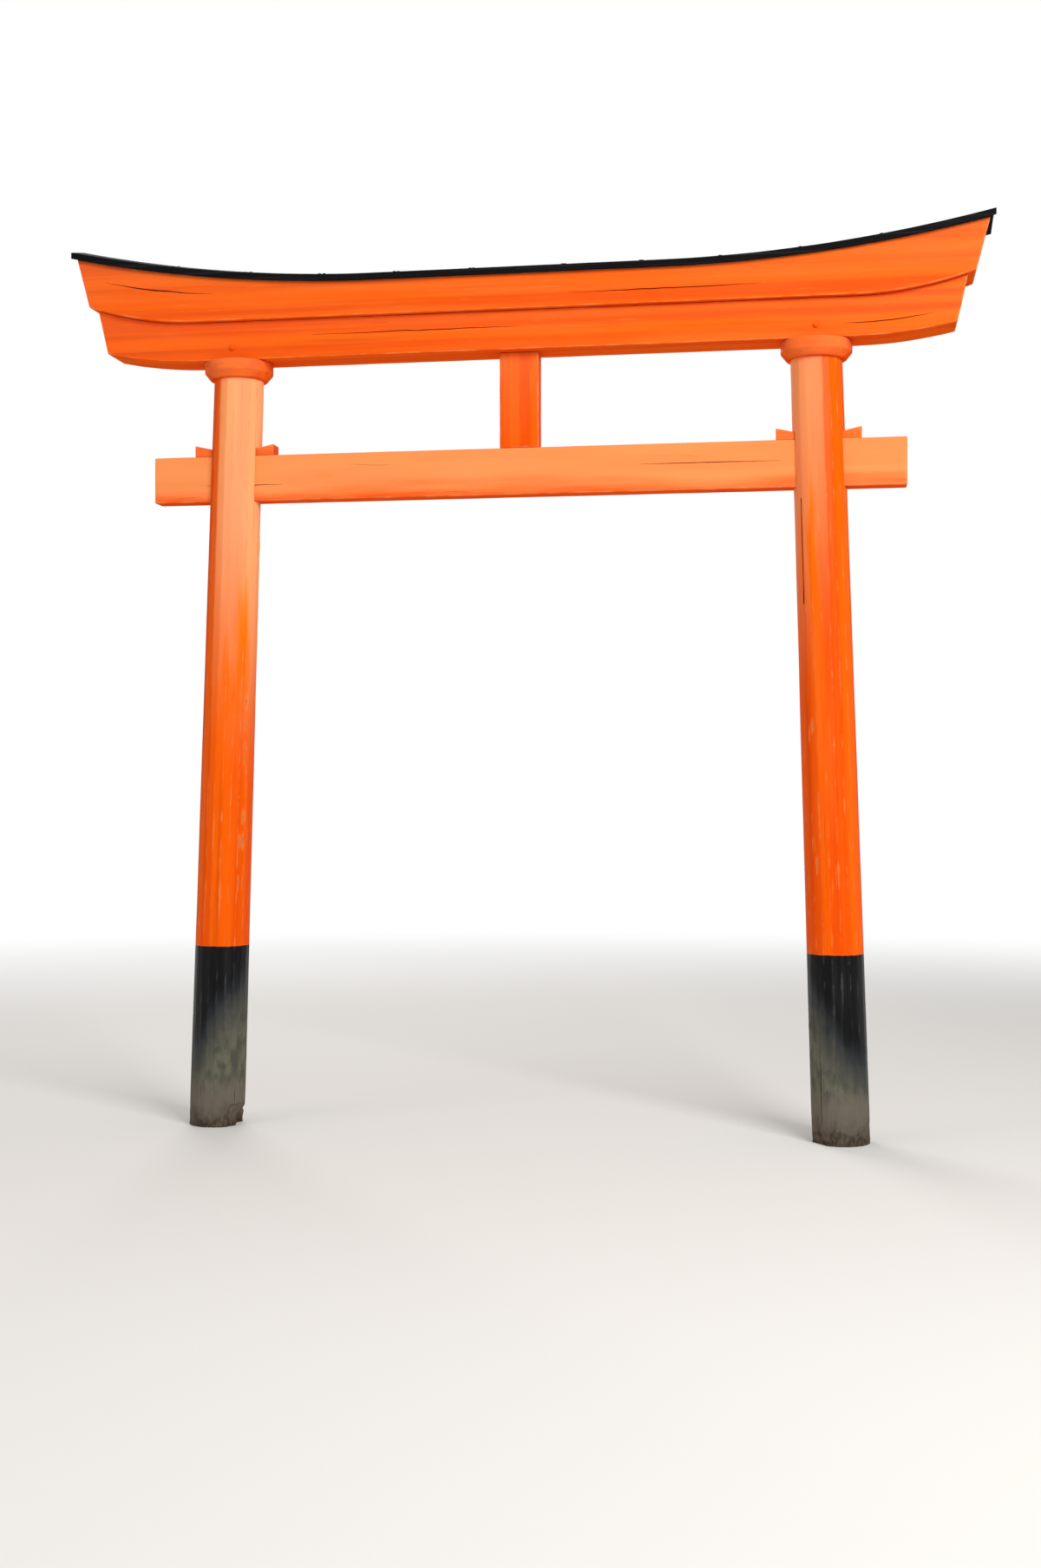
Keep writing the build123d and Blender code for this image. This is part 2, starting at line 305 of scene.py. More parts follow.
class Recipe(Tree):
    """The material of a painted timber, with the places that its patterns are read at."""

    def __init__(self, paint: "Paint") -> None:
        """Starts the material.

        Args:
            paint: the paint that it is for.
        """
        super().__init__(bpy.data.materials.new(f"{paint.film} on {paint.wood}"))
        self.seed = paint.seed
        self.position = self.add("TexCoord").outputs["Object"]
        self.height = self.add("SeparateXYZ", {"Vector": self.position}).outputs["Z"]
        self.normal = self.add("NewGeometry").outputs["Normal"]
        turned = {"Vector": self.position, "Location": paint.place.origin, "Rotation": paint.place.turn}
        self.grain = self.add("Mapping", turned, vector_type="TEXTURE")

    def coats(self, colour: Any, *layers: tuple[Any, Any]) -> Any:
        """Lays coats of colour over one another.

        Args:
            colour: the first.
            layers: for each of the others, the mask of where it lies and its colour.

        Returns:
            The colour of them all.
        """
        for mask, over in layers:
            colour = self.add("Mix", {"Factor": mask, "A": colour, "B": over}, data_type="RGBA")
        return colour

    def shaded(self, colour: Any, fibres: Node, least: float) -> Node:
        """A colour that darkens to its least share where fine noise is low."""
        shade = self.add("MapRange", {"Value": fibres, "From Min": 0.3, "From Max": 0.7, "To Min": least})
        return self.add("VectorMath", {0: colour, "Scale": shade}, operation="SCALE")

    def relief(self, *layers: tuple[Any, float]) -> Node:
        """Stacks patterns that raise the surface.

        Args:
            layers: each pattern and its height, which is below 0 where it sinks the surface.

        Returns:
            The surface.
        """
        under: dict[str, Any] = {}
        for pattern, height in layers:
            inputs = {"Height": pattern, "Distance": abs(height), **under}
            under = {"Normal": self.add("Bump", inputs, invert=height < 0)}
        return under["Normal"]

    def grown(self, growth: Growth, at: Any = None) -> Node:
        """Draws the noise of a growth.

        Args:
            growth: the growth.
            at: where it is read, if not in the pattern's frame.

        Returns:
            A noise node, about 0.5 on average.
        """
        scale = {0: at or self.grain, 1: (1 / growth.across, 1 / growth.across, 1 / growth.along)}
        scaled = self.add("VectorMath", scale, operation="MULTIPLY")
        inputs = {"Vector": scaled, "W": self.seed + growth.layer, "Scale": 1.0, "Detail": growth.detail}
        return self.add("TexNoise", inputs, noise_dimensions="4D")

    def mask(self, growth: Growth) -> Node:
        """The mask of a growth."""
        return self.band(self.grown(growth), growth.low, growth.high, growth.most)

    def ragged(self, value: Any, growth: Growth, at: Any = None) -> Node:
        """A value that a growth has made ragged. The growth is read at a place, if not in its own frame."""
        inputs = {0: self.grown(growth, at), 1: growth.reach, 2: value}
        return self.add("Math", inputs, operation="MULTIPLY_ADD")

    def border(self, value: Any, growth: Growth) -> Node:
        """The mask of where a value is past a growth's low, with a border that the growth makes ragged."""
        return self.band(self.ragged(value, growth), growth.low, growth.high, growth.most)

    def cells(self, across: float, along: float, layer: float) -> tuple[Any, Any]:
        """Scattered cells drawn out along the grain, with ragged outlines.

        Args:
            across: size of a cell across the grain.
            along: its size along the grain.
            layer: the pattern's layer.

        Returns:
            The distance from each cell's middle, and a number from 0 to 1 that is the cell's own.
        """
        scale = {0: self.grain, 1: (1 / across, 1 / across, 1 / along)}
        scaled = self.add("VectorMath", scale, operation="MULTIPLY")
        bent = self.add("TexNoise", {"Vector": scaled, "Scale": 4.0, "Detail": 3.0}).outputs["Color"]
        bent = self.add("VectorMath", {0: bent, 1: (0.16,) * 3, 2: scaled}, operation="MULTIPLY_ADD")
        inputs = {"Vector": bent, "W": self.seed + layer, "Scale": 1.0}
        cells = self.add("TexVoronoi", inputs, voronoi_dimensions="4D").outputs
        return cells["Distance"], self.add("SeparateColor", {"Color": cells["Color"]}).outputs["Red"]

    def spotted(self, spots: Spots) -> Node:
        """Scatters spots.

        Args:
            spots: the spots.

        Returns:
            Their mask.
        """
        distance, own = self.cells(spots.across, spots.along, spots.layer)
        chosen = self.add("Math", {0: own, 1: spots.share}, operation="LESS_THAN")
        return self.band(distance, spots.rim, spots.core, chosen)

    def across(self, log_radius: float | None) -> Node:
        """How far a point lies round a log, or across a square timber.

        Args:
            log_radius: the log's radius, or none for a square timber.

        Returns:
            The distance.
        """
        axes = self.add("SeparateXYZ", {"Vector": self.grain}).outputs
        if log_radius is None:
            return self.add("Math", {0: axes["X"], 1: axes["Y"]}, operation="ADD")
        around = self.add("Math", {0: axes["Y"], 1: axes["X"]}, operation="ARCTAN2")
        return self.add("Math", {0: around, 1: log_radius}, operation="MULTIPLY")

    def split(self, splits: Splits, log_radius: float | None) -> Node:
        """Draws splits that follow the wandering grain, never fork, and taper to nothing at both ends.

        Args:
            splits: the splits.
            log_radius: the log's radius, or none for a square timber.

        Returns:
            Their mask.
        """
        wander = Growth(0.5, 0.24, splits.layer, reach=30 * MM)
        bent = self.ragged(self.across(log_radius), wander)
        inputs = {0: bent, 1: 1 / splits.spacing, 2: self.seed + splits.layer}
        bent = self.add("Math", inputs, operation="MULTIPLY_ADD")
        lines = {"voronoi_dimensions": "1D", "feature": "DISTANCE_TO_EDGE"}
        lines = self.add("TexVoronoi", {"W": bent, "Scale": 1.0}, **lines)
        some = Growth(60 * MM, 0.22, splits.layer + 2, detail=2.0, low=0.58, high=0.72)
        share = splits.width / splits.spacing
        inputs = {0: self.mask(some), 1: -0.5 * share, 2: lines.outputs["Distance"]}
        return self.band(self.add("Math", inputs, operation="MULTIPLY_ADD"), 0.0, -0.2 * share)

    def above_edge(self, line: float) -> Node:
        """Brushes the edge at a paint line, alike for both colours.

        Args:
            line: the paint line's height.

        Returns:
            How far above the edge a point lies.
        """
        brushing = Growth(16 * MM, 16 * MM, layer=27, detail=4.0, reach=-5 * MM)
        level = self.ragged(self.height, brushing, self.position)
        # The noise is 0.5 on average, so the brush keeps to the line but for a millimetre or two.
        return self.add("Math", {0: level, 1: line - 4.2 * MM}, operation="SUBTRACT")

    def worn_arrises(self, dashes: Growth) -> Node:
        """The mask of the arrises where the film has worn through in dashes."""
        return self.border(self.add("Attribute", attribute_name="arris").outputs["Fac"], dashes)

    def facing(self, way: tuple[float, float, float]) -> Any:
        """How far the surface faces a way, from -1 to 1 for one that is 1 long."""
        return self.add("VectorMath", {0: self.normal, 1: way}, operation="DOT_PRODUCT").outputs["Value"]

    def bare(self) -> Node:
        return self.band(self.add("Attribute", attribute_name="bare").outputs["Fac"], 0.08, 0.5)

    def dust(self, drifts: Growth) -> Node:
        """The mask of dust that lies in drifts on what faces up."""
        return self.band(self.facing(UPWARDS), 0.6, 0.95, self.mask(drifts))

    def paint(self, colour: Any, roughness: Any, surface: Any, gloss: float) -> bpy.types.Material:
        """Joins the shader of a paint film.

        Args:
            colour: its colour.
            roughness: its roughness.
            surface: its relief.
            gloss: its specular level. A film that chalks mirrors less than a whole one, which is at 0.5.

        Returns:
            The material.
        """
        inputs = {"Base Color": colour, "Roughness": roughness, "Normal": surface, "IOR": 1.5}
        shader = self.add("BsdfPrincipled", {**inputs, "Specular IOR Level": gloss})
        self.add("OutputMaterial", {"Surface": shader})
        return self.owner


@dataclass(frozen=True)
class OnLog:
    """A place round a log, in degrees from its right side towards the back."""

    degrees: float

    @property
    def angle(self) -> float:
        """The place's angle, from -pi to pi."""
        return math.remainder(math.radians(self.degrees), math.tau)


@dataclass(frozen=True)
class Mark(OnLog):
    """A ragged oval on a log, by its height and half sizes."""

    height: float
    half_width: float
    half_height: float

    def reach(self, r: Recipe, log_radius: float) -> Node:
        """How far a point of the log lies from the mark's middle.

        Args:
            r: the recipe of the log's paint.
            log_radius: the log's radius.

        Returns:
            The distance, which is 1 at the mark's outline.
        """
        along = r.add("SeparateXYZ", {"Vector": r.grain}).outputs["Z"]
        sheet = r.add("CombineXYZ", {"X": r.across(log_radius), "Y": along})
        inputs = {"Vector": sheet, "Location": (self.angle * log_radius, self.height, 0.0)}
        inputs["Scale"] = (self.half_width, self.half_height, 1.0)
        oval = r.add("Mapping", inputs, vector_type="TEXTURE")
        reach = r.add("VectorMath", {0: oval}, operation="LENGTH").outputs["Value"]
        rags = Growth(self.half_width, self.half_height, layer=self.height, detail=5.0, reach=2.6)
        # The noise is 0.5 on average, and half of its reach is taken off again.
        return r.ragged(r.add("Math", {0: reach, 1: rags.reach / 2}, operation="SUBTRACT"), rags)


@dataclass(frozen=True)
class Sun:
    """Where the sun bleaches the paint, and where a highlight is painted paler on it: faces turned towards
    it, above a wavering height.

    The height falls on faces turned to the tilt, by the tilt's length.
    """

    towards: tuple[float, float, float]
    low: float
    high: float
    strength: float
    waver: float = 0.3
    tilt: tuple[float, float, float] = (0.0, 0.0, 0.0)

    def bleached_and_highlit(self, r: Recipe) -> Node:
        """Works out the bleaching of a paint, which is also a highlight painted on the faces turned to the
        light.

        Args:
            r: the paint's recipe.

        Returns:
            Its mask.
        """
        level = r.add("Math", {0: r.height, 1: r.facing(self.tilt)}, operation="ADD")
        low, high = self.low + 0.5 * self.waver, self.high + 0.5 * self.waver
        waves = Growth(40 * MM, 0.5, layer=19, low=low, high=high, most=self.strength, reach=self.waver)
        return r.band(r.facing(self.towards), 0.0, 0.6, r.border(level, waves))


def placed(bm: BMesh, name: str) -> bpy.types.Object:
    """Turns a mesh into an object of the scene.

    Args:
        bm: the mesh in its place. It is freed.
        name: the object's name.

    Returns:
        The object.
    """
    mesh = bpy.data.meshes.new(name)
    bm.to_mesh(mesh)
    bm.free()
    made = bpy.data.objects.new(name, mesh)
    bpy.context.scene.collection.objects.link(made)
    return made


@dataclass(frozen=True)
class Paint(ABC):
    """A paint film on wood: what wood it is on, the frame of the wood's pattern, and which pattern it is."""

    film: ClassVar[str]
    slot: ClassVar[Slot]
    crease: ClassVar[float] = math.radians(32)
    wood: str
    place: Place
    seed: float

    @abstractmethod
    def build(self) -> bpy.types.Material:
        """Makes the material."""

    def dress(self, bm: BMesh, node: str, made: str) -> None:
        """Turns a mesh into the finished piece that stands for a node.

        Args:
            bm: the mesh in its place. It is freed.
            node: the node that the piece replaces.
            made: how the piece was made or what it is, which ends its name.
        """
        for edge in bm.edges:
            edge.smooth = edge.calc_face_angle(0.0) < self.crease
        for face in bm.faces:
            face.smooth = True
        piece = placed(bm, f"{node}_{made}")
        piece.data.materials.append(self.build())
        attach(piece, "root")
        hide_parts(node)
        LOG.info("%s: %d faces", piece.name, len(piece.data.polygons))


@dataclass(frozen=True)
class VermilionPaint(Paint):
    """Vermilion oil paint brushed on planed cedar, years outdoors.

    It gives the eye a strong orange red with a faint sheen, in long bands and fine streaks along the grain,
    chalky in patches, peach where the sun has faded it and as a painted highlight, and grey-beige in small
    upright ovals where it has come off.
    """

    film: ClassVar[str] = "vermilion oil paint"
    slot: ClassVar[Slot] = Slot.VERMILION
    sun: Sun | None = None
    marks: tuple[Mark, ...] = ()
    runs: tuple[Mark, ...] = ()
    peel: float = 0.03
    log_radius: float | None = None
    paint_line: float | None = None
    lengthwise: bool = False
    pith: tuple[float, float, float] = (38 * MM, 17 * MM, 0.0)
    # Each flat of the wood has weathered to its own tone all the way along. The film chalks in patches.
    bands: Growth = Growth(34 * MM, 5.0, layer=0, detail=2.0, low=0.4, high=0.62)
    patches: Growth = Growth(45 * MM, 0.9, layer=1, detail=4.0, low=0.47, high=0.75, most=0.6)
    # A pink blush inside the sun-faded peach, which is partly a painted highlight.
    blush: Growth = Growth(50 * MM, 0.6, layer=2, detail=2.0, low=0.4, high=0.65)
    # Rain leaves streaks a centimetre or two apart. The brush's bristles leave lines in them that are too
    # fine to show, so they are drawn 3 mm wide.
    streaks: Growth = Growth(15 * MM, 0.9, layer=3, low=0.52, high=0.8, most=0.5)
    chalk: Growth = Growth(6 * MM, 0.14, layer=4, low=0.6, high=0.76, most=0.6)
    bristles: Growth = Growth(3 * MM, 0.3, layer=5)
    bristle_shade: float = 0.93
    # Hair-thin drying checks open the film here and there. They are drawn 0.9 mm wide, so that they show.
    hairlines: Splits = Splits(spacing=40 * MM, width=0.9 * MM, layer=7)
    # Where the film has come off, the wood's fibres are drawn coarser than they are, so that they show.
    fibres: Growth = Growth(1.6 * MM, 30 * MM, layer=11, low=0.35, high=0.65)
    # The film has come off in the middle of some cells, which have a size across, one along and a layer.
    flake_cells: tuple[float, float, float] = (34 * MM, 0.15, 23)
    flake_growth: float = 5.5
    # Webs leave pale specks about a millimetre across.
    specks: Spots = Spots(24 * MM, 24 * MM, layer=13, rim=0.05, core=0.03, share=0.12)
    dashes: Growth = Growth(30 * MM, 60 * MM, 15, detail=4.0, low=1.42, high=1.75, most=0.55, reach=1.2)
    drifts: Growth = Growth(40 * MM, 0.12, layer=21, detail=5.0, low=0.35, high=0.7, most=0.7)
    veins: Growth = Growth(2.4 * MM, 0.15, layer=17, detail=2.0)
    least_rough: float = 0.46
    most_rough: float = 0.7
    bare_rough: float = 0.85
    gloss: float = 0.05
    fresh: str = "#F86000"
    red: str = "#EA4E00"
    chalky: str = "#F87020"
    chalk_streak: str = "#FC7C2C"
    deep: str = "#C84000"
    # The peach, pink and amber below are sun bleaching and a painted highlight together.
    bleached_and_highlit: str = "#FAA86E"
    pink: str = "#F89C6A"
    amber: str = "#FA8208"
    hairline: str = "#9A3410"
    primer: str = "#D67E48"
    primer_grain: str = "#B86A38"
    thinned: str = "#F6843E"
    arris: str = "#F08C50"
    soaked: str = "#A83A08"
    speck: str = "#F8A876"
    settled: str = "#C08A66"
    bare_wood: str = "#3A2218"
    black: str = "#08080A"

    def build(self) -> bpy.types.Material:
        """Makes the material.

        Returns:
            The material.
        """
        r = Recipe(self)
        patches, bristles = r.mask(self.patches), r.grown(self.bristles)
        colour = r.coats(
            self.fresh,
            (r.mask(self.bands), self.red),
            (patches, self.chalky),
            (r.mask(self.streaks), self.deep),
            (r.mask(self.chalk), self.chalk_streak),
        )
        colour = r.shaded(colour, bristles, self.bristle_shade)
        dull = patches
        # Paler peach on faces turned to the sun, with a pink blush and amber streaks in it: partly sun
        # bleaching, partly a painted highlight where the light falls.
        if self.sun:
            lit = self.sun.bleached_and_highlit(r)
            runs = [(r.band(run.reach(r, self.log_radius), 1.3, 0.3), self.amber) for run in self.runs]
            bleached_and_highlit = r.coats(self.bleached_and_highlit, (r.mask(self.blush), self.pink), *runs)
            colour = r.coats(colour, (lit, bleached_and_highlit))
            dull = r.add("Math", {0: lit, 1: patches}, operation="MAXIMUM")

        # The film thins towards where it has come off, and dull primer shows there in the grain.
        spread = self.peeling(r)
        off = r.band(spread, 1.0, 0.4, 0.85)
        lines = r.split(self.hairlines, self.log_radius)
        colour = r.coats(
            colour,
            (r.worn_arrises(self.dashes), self.arris),
            (lines, self.hairline),
            (r.band(spread, 1.5, 0.9, 0.5), self.thinned),
            (off, r.coats(self.primer, (r.mask(self.fibres), self.primer_grain))),
            (r.spotted(self.specks), self.speck),
            (r.dust(self.drifts), self.settled),
        )
        if self.lengthwise:
            colour = r.coats(colour, (self.growth_rings(r), self.soaked))
        if self.paint_line is not None:
            crept = r.band(r.above_edge(self.paint_line), 0.25 * MM, -0.25 * MM)
            colour = r.coats(colour, (crept, self.black))
        bare = r.bare()
        colour = r.coats(colour, (bare, self.bare_wood))

        rough = r.add("MapRange", {"Value": dull, "To Min": self.least_rough, "To Max": self.most_rough})
        open_wood = r.add("Math", {0: off, 1: bare}, operation="MAXIMUM")
        rough = r.add("Mix", {"Factor": open_wood, "A": rough, "B": self.bare_rough}, data_type="FLOAT")
        # Rain never washes what faces down, dust lies on what faces up, and the film is matt on both.
        level = r.add("Math", {0: r.facing(UPWARDS)}, operation="ABSOLUTE")
        rough = r.add("Mix", {"Factor": r.band(level, 0.4, 0.9), "A": rough, "B": 1.0}, data_type="FLOAT")
        sunk = r.add("Math", {0: lines, 1: off}, operation="ADD")
        surface = r.relief((sunk, -0.4 * MM), (r.grown(self.veins), 0.3 * MM), (bristles, 0.3 * MM))
        return r.paint(colour, rough, surface, self.gloss)

    def growth_rings(self, r: Recipe) -> Node:
        """The mask of growth rings about 4 mm wide that show in the cut ends, where the paint has soaked in.

        Args:
            r: the paint's recipe.

        Returns:
            The mask.
        """
        off_pith = r.add("VectorMath", {0: r.grain, 1: self.pith}, operation="ADD")
        inputs = {"Vector": off_pith, "Scale": 80.0, "Distortion": 3.0, "Detail": 2.0, "Detail Scale": 12.0}
        rings = r.add("TexWave", inputs, wave_type="RINGS", rings_direction="Z").outputs["Fac"]
        endways = r.add("Math", {0: r.facing(SIDEWAYS)}, operation="ABSOLUTE")
        return r.band(rings, 0.45, 0.95, r.band(endways, 0.85, 0.96, 0.5))

    def peeling(self, r: Recipe) -> Node:
        """How far a point lies from where the film has come off, in scattered ovals and in the marks.

        Args:
            r: the paint's recipe.

        Returns:
            The distance, which is 1 at the outlines.
        """
        distance, own = r.cells(*self.flake_cells)
        whole = r.add("Math", {0: own, 1: self.peel}, operation="GREATER_THAN")
        # A cell whose film is whole lies farther off than any outline reaches.
        whole = r.add("Math", {0: whole, 1: 9.0}, operation="MULTIPLY")
        spread = r.add("Math", {0: distance, 1: self.flake_growth, 2: whole}, operation="MULTIPLY_ADD")
        for mark in self.marks:
            spread = r.add("Math", {0: spread, 1: mark.reach(r, self.log_radius)}, operation="MINIMUM")
        return spread


@dataclass(frozen=True)
class BlackFootPaint(Paint):
    """Black paint on the foot of a cedar log, worn by splashing rain.

    It gives the eye a satin black under the paint line, a slanting, soft border to slate and then to dull
    olive-grey algae, and brown, rotting wood and soil at the ground.
    """

    film: ClassVar[str] = "black paint"
    slot: ClassVar[Slot] = Slot.BLACK_FOOT
    damp: tuple[float, float, float]
    log_radius: float
    paint_line: float
    # The black wears thin in streaks. Algae climb higher on the damp side, with a soft, slanting border.
    thin: Growth = Growth(16 * MM, 0.3, layer=0, detail=4.0, low=0.48, high=0.74)
    dashes: Growth = Growth(30 * MM, 60 * MM, 15, detail=4.0, low=1.4, high=1.75, most=0.4, reach=1.2)
    climb: Growth = Growth(60 * MM, 0.25, layer=3, detail=4.0, reach=0.16)
    slant: float = 0.12
    blotches: Growth = Growth(26 * MM, 45 * MM, layer=5, detail=7.0, reach=0.2)
    tufts: Growth = Growth(14 * MM, 0.2, layer=4, low=0.5, high=0.75, most=0.8)
    # Lower down the wood shows grey brown, and at the ground soil sticks to rotten fibres, which are drawn
    # 3 mm wide, so that they show.
    bared: Growth = Growth(40 * MM, 0.1, layer=6, detail=4.0, low=0.25, high=0.15, reach=0.14)
    dirt: Growth = Growth(34 * MM, 46 * MM, layer=7, detail=8.0, low=0.17, high=0.06, reach=0.16)
    crumbs: Growth = Growth(9 * MM, 13 * MM, layer=9, detail=6.0, low=0.4, high=0.62)
    fibres: Growth = Growth(3 * MM, 90 * MM, layer=17, detail=4.0)
    fibre_shade: float = 0.86
    splits: Splits = Splits(spacing=38 * MM, width=1.2 * MM, layer=19)
    # Dark knocks are about a centimetre across and pale grit 3 mm. The brush crept over the line and dripped.
    knocks: Spots = Spots(36 * MM, 52 * MM, layer=11, rim=0.16, core=0.07, share=0.14)
    grains: Spots = Spots(21 * MM, 21 * MM, layer=13, rim=0.07, core=0.04, share=0.1)
    drops: Spots = Spots(13 * MM, 22 * MM, layer=21, rim=0.12, core=0.09, share=0.12)
    least_rough: float = 0.36
    most_rough: float = 0.85
    gloss: float = 0.15
    black: str = "#060607"
    worn_black: str = "#1B1C1F"
    slate: str = "#2A2D31"
    algae: str = "#6C6A5B"
    dark_algae: str = "#4F5045"
    moss: str = "#6E6A42"
    grey_brown: str = "#6C6459"
    soil: str = "#574838"
    dark_soil: str = "#2E2118"
    knock: str = "#1E1D17"
    grit: str = "#B4B0A2"
    arris: str = "#5C5E5C"
    bare_wood: str = "#120E0B"
    vermilion: str = "#F65400"

    def build(self) -> bpy.types.Material:
        """Makes the material.

        Returns:
            The material.
        """
        r = Recipe(self)
        thin = r.mask(self.thin)
        climb = {0: r.facing(self.damp), 1: -self.slant, 2: r.height}
        climb = r.ragged(r.add("Math", climb, operation="MULTIPLY_ADD"), self.climb)
        blotches = r.grown(self.blotches)
        green = {0: blotches, 1: self.blotches.reach, 2: climb}
        green = r.band(r.add("Math", green, operation="MULTIPLY_ADD"), 0.56, 0.36, 0.93)
        mottle = r.band(blotches, 0.36, 0.62)
        growth = r.coats(self.dark_algae, (mottle, self.algae), (r.mask(self.tufts), self.moss))
        dirt, crumbs = r.border(r.height, self.dirt), r.mask(self.crumbs)
        colour = r.coats(
            self.black,
            (thin, self.worn_black),
            (r.worn_arrises(self.dashes), self.arris),
            (r.band(climb, 0.5, 0.4), self.slate),
            (green, growth),
            (r.border(r.height, self.bared), self.grey_brown),
            (dirt, r.coats(self.dark_soil, (crumbs, self.soil))),
        )
        fibres, knocks = r.grown(self.fibres), r.spotted(self.knocks)
        drops = r.spotted(self.drops)
        drops = r.band(r.height, self.paint_line - 45 * MM, self.paint_line - 10 * MM, drops)
        colour = r.coats(
            r.shaded(colour, fibres, self.fibre_shade),
            (r.split(self.splits, self.log_radius), self.bare_wood),
            (knocks, self.knock),
            (r.spotted(self.grains), self.grit),
            (r.band(r.above_edge(self.paint_line), -0.25 * MM, 0.25 * MM), self.vermilion),
            (drops, self.vermilion),
            (r.bare(), self.bare_wood),
        )

        dull = r.add("Math", {0: green, 1: dirt}, operation="MAXIMUM")
        dull = r.add("Math", {0: dull, 1: thin}, operation="MAXIMUM")
        rough = r.add("MapRange", {"Value": dull, "To Min": self.least_rough, "To Max": self.most_rough})
        crust = r.add("Math", {0: dirt, 1: crumbs}, operation="MULTIPLY")
        surface = r.relief((crust, 1.5 * MM), (knocks, -1.5 * MM), (fibres, 0.6 * MM))
        return r.paint(colour, rough, surface, self.gloss)


@dataclass(frozen=True)
class CopingPaint(Paint):
    """Black paint brushed on thin cedar boards, open to the sky.

    It gives the eye a dull black that greys along the grain, with pale dust on what faces up.
    """

    film: ClassVar[str] = "black paint"
    slot: ClassVar[Slot] = Slot.BLACK_COPING
    thin: Growth = Growth(10 * MM, 0.5, layer=0, detail=4.0, low=0.46, high=0.78)
    drifts: Growth = Growth(60 * MM, 0.3, layer=3, detail=5.0, low=0.42, high=0.72, most=0.6)
    veins: Growth = Growth(2.4 * MM, 0.15, layer=17)
    least_rough: float = 0.75
    most_rough: float = 0.95
    gloss: float = 0.05
    black: str = "#0F0F12"
    greyed: str = "#2A2A2E"
    settled: str = "#5A574F"

    def build(self) -> bpy.types.Material:
        """Makes the material.

        Returns:
            The material.
        """
        r = Recipe(self)
        thin, dust = r.mask(self.thin), r.dust(self.drifts)
        colour = r.coats(self.black, (thin, self.greyed), (dust, self.settled))
        dull = r.add("Math", {0: dust, 1: thin}, operation="MAXIMUM")
        rough = r.add("MapRange", {"Value": dull, "To Min": self.least_rough, "To Max": self.most_rough})
        surface = r.relief((r.grown(self.veins), 0.5 * MM))
        return r.paint(colour, rough, surface, self.gloss)


def running(bm: BMesh, axis: int, least: float) -> list[BMEdge]:
    """The edges of a mesh that run farther than least along an axis."""
    return [edge for edge in bm.edges if abs(edge.verts[0].co[axis] - edge.verts[1].co[axis]) > least]


def divide(bm: BMesh, axis: int, least: float, cuts: int) -> None:
    """Cuts across the edges that run farther than least along an axis, as many times as cuts says."""
    bmesh.ops.subdivide_edges(bm, edges=running(bm, axis, least), cuts=cuts, use_grid_fill=True)


def arrises(edges: Iterable[BMEdge], turn: float = 1.0) -> list[BMEdge]:
    """Those of the edges where two faces meet that turn by more than turn, in radians."""
    return [edge for edge in edges if edge.calc_face_angle(0.0) > turn]


def round_over(bm: BMesh, edges: list[BMEdge], width: float, segments: int = 3, **more: Any) -> list[BMVert]:
    """Rounds arrises over.

    Args:
        bm: the mesh.
        edges: its arrises.
        width: how far back from each they are rounded.
        segments: how finely.
        more: the operator's other settings.

    Returns:
        The new vertices.
    """
    shape = {"offset": width, "offset_type": "OFFSET", "segments": segments, "profile": 0.5}
    return bmesh.ops.bevel(bm, geom=edges, affect="EDGES", material=-1, **shape, **more)["verts"]


def sawn_timber(size: Vector, cuts: tuple[int, int, int], ease: float) -> BMesh:
    """A sawn timber about the origin, with eased arrises.

    Args:
        size: its length, thickness and depth.
        cuts: how many times it is divided along X, Y and Z, so that it can bend and wear.
        ease: how far the arrises are rounded.

    Returns:
        The mesh. Its layer "arris" is 1 on the arrises.
    """
    bm = bmesh.new()
    bm.verts.layers.float.new("bare")
    worn = bm.verts.layers.float.new("arris")
    bmesh.ops.create_cube(bm, size=1.0, matrix=Matrix.Diagonal((*size, 1.0)))
    for axis, count in enumerate(cuts):
        divide(bm, axis, size[axis] / 2, count)
    for vert in round_over(bm, arrises(bm.edges), ease):
        vert[worn] = 1.0
    return bm


@dataclass(frozen=True)
class Wear:
    """Uneven wear of a surface: the most that it loses, and how wide the hollows are."""

    depth: float
    size: float

    def on(self, bm: BMesh, seed: float) -> None:
        """Wears a mesh back.

        Args:
            bm: the mesh.
            seed: picks the pattern.
        """
        bm.normal_update()
        for vert in bm.verts:
            vert.co -= vert.normal * (self.depth * (0.5 + 0.5 * swell(vert.co, self.size, seed)))


def open_check(bm: BMesh, path: list[BMVert], width: float, depth: float, seed: float) -> None:
    """Opens a drying check along a line of vertices. It is widest in the middle and closes at both ends.

    Args:
        bm: the mesh. Its layer "bare" becomes 1 at the check's bottom.
        path: the vertices in order.
        width: the check's width at its widest.
        depth: its depth there.
        seed: sets how it wanders.
    """
    bm.normal_update()
    bare = bm.verts.layers.float.get("bare")
    edges = [next(e for e in a.link_edges if e.other_vert(a) is b) for a, b in zip(path, path[1:])]
    along = (path[-1].co - path[0].co).normalized()
    for vert in path:
        short, long = swell(vert.co, 40 * MM, seed), swell(vert.co, 130 * MM, seed)
        vert.co += vert.normal.cross(along) * (0.5 * width * short + 1.2 * MM * long)
    spine = [(vert.co.copy(), vert.normal.copy()) for vert in path]
    for vert in round_over(bm, edges, width / 2, 2, clamp_overlap=True):
        nearest = min(range(len(spine)), key=lambda index: (vert.co - spine[index][0]).length_squared)
        middle, outward = spine[nearest]
        opening = max(0.1, math.sin(math.pi * nearest / (len(spine) - 1)))
        opening *= 0.85 + 0.25 * noise.noise(Vector((nearest, seed, 1.0)))
        sideways = vert.co - middle
        if sideways.length < 0.15 * width:
            vert.co = middle - outward * (depth * opening)
            vert[bare] = 1.0
        else:
            vert.co = middle + sideways * opening


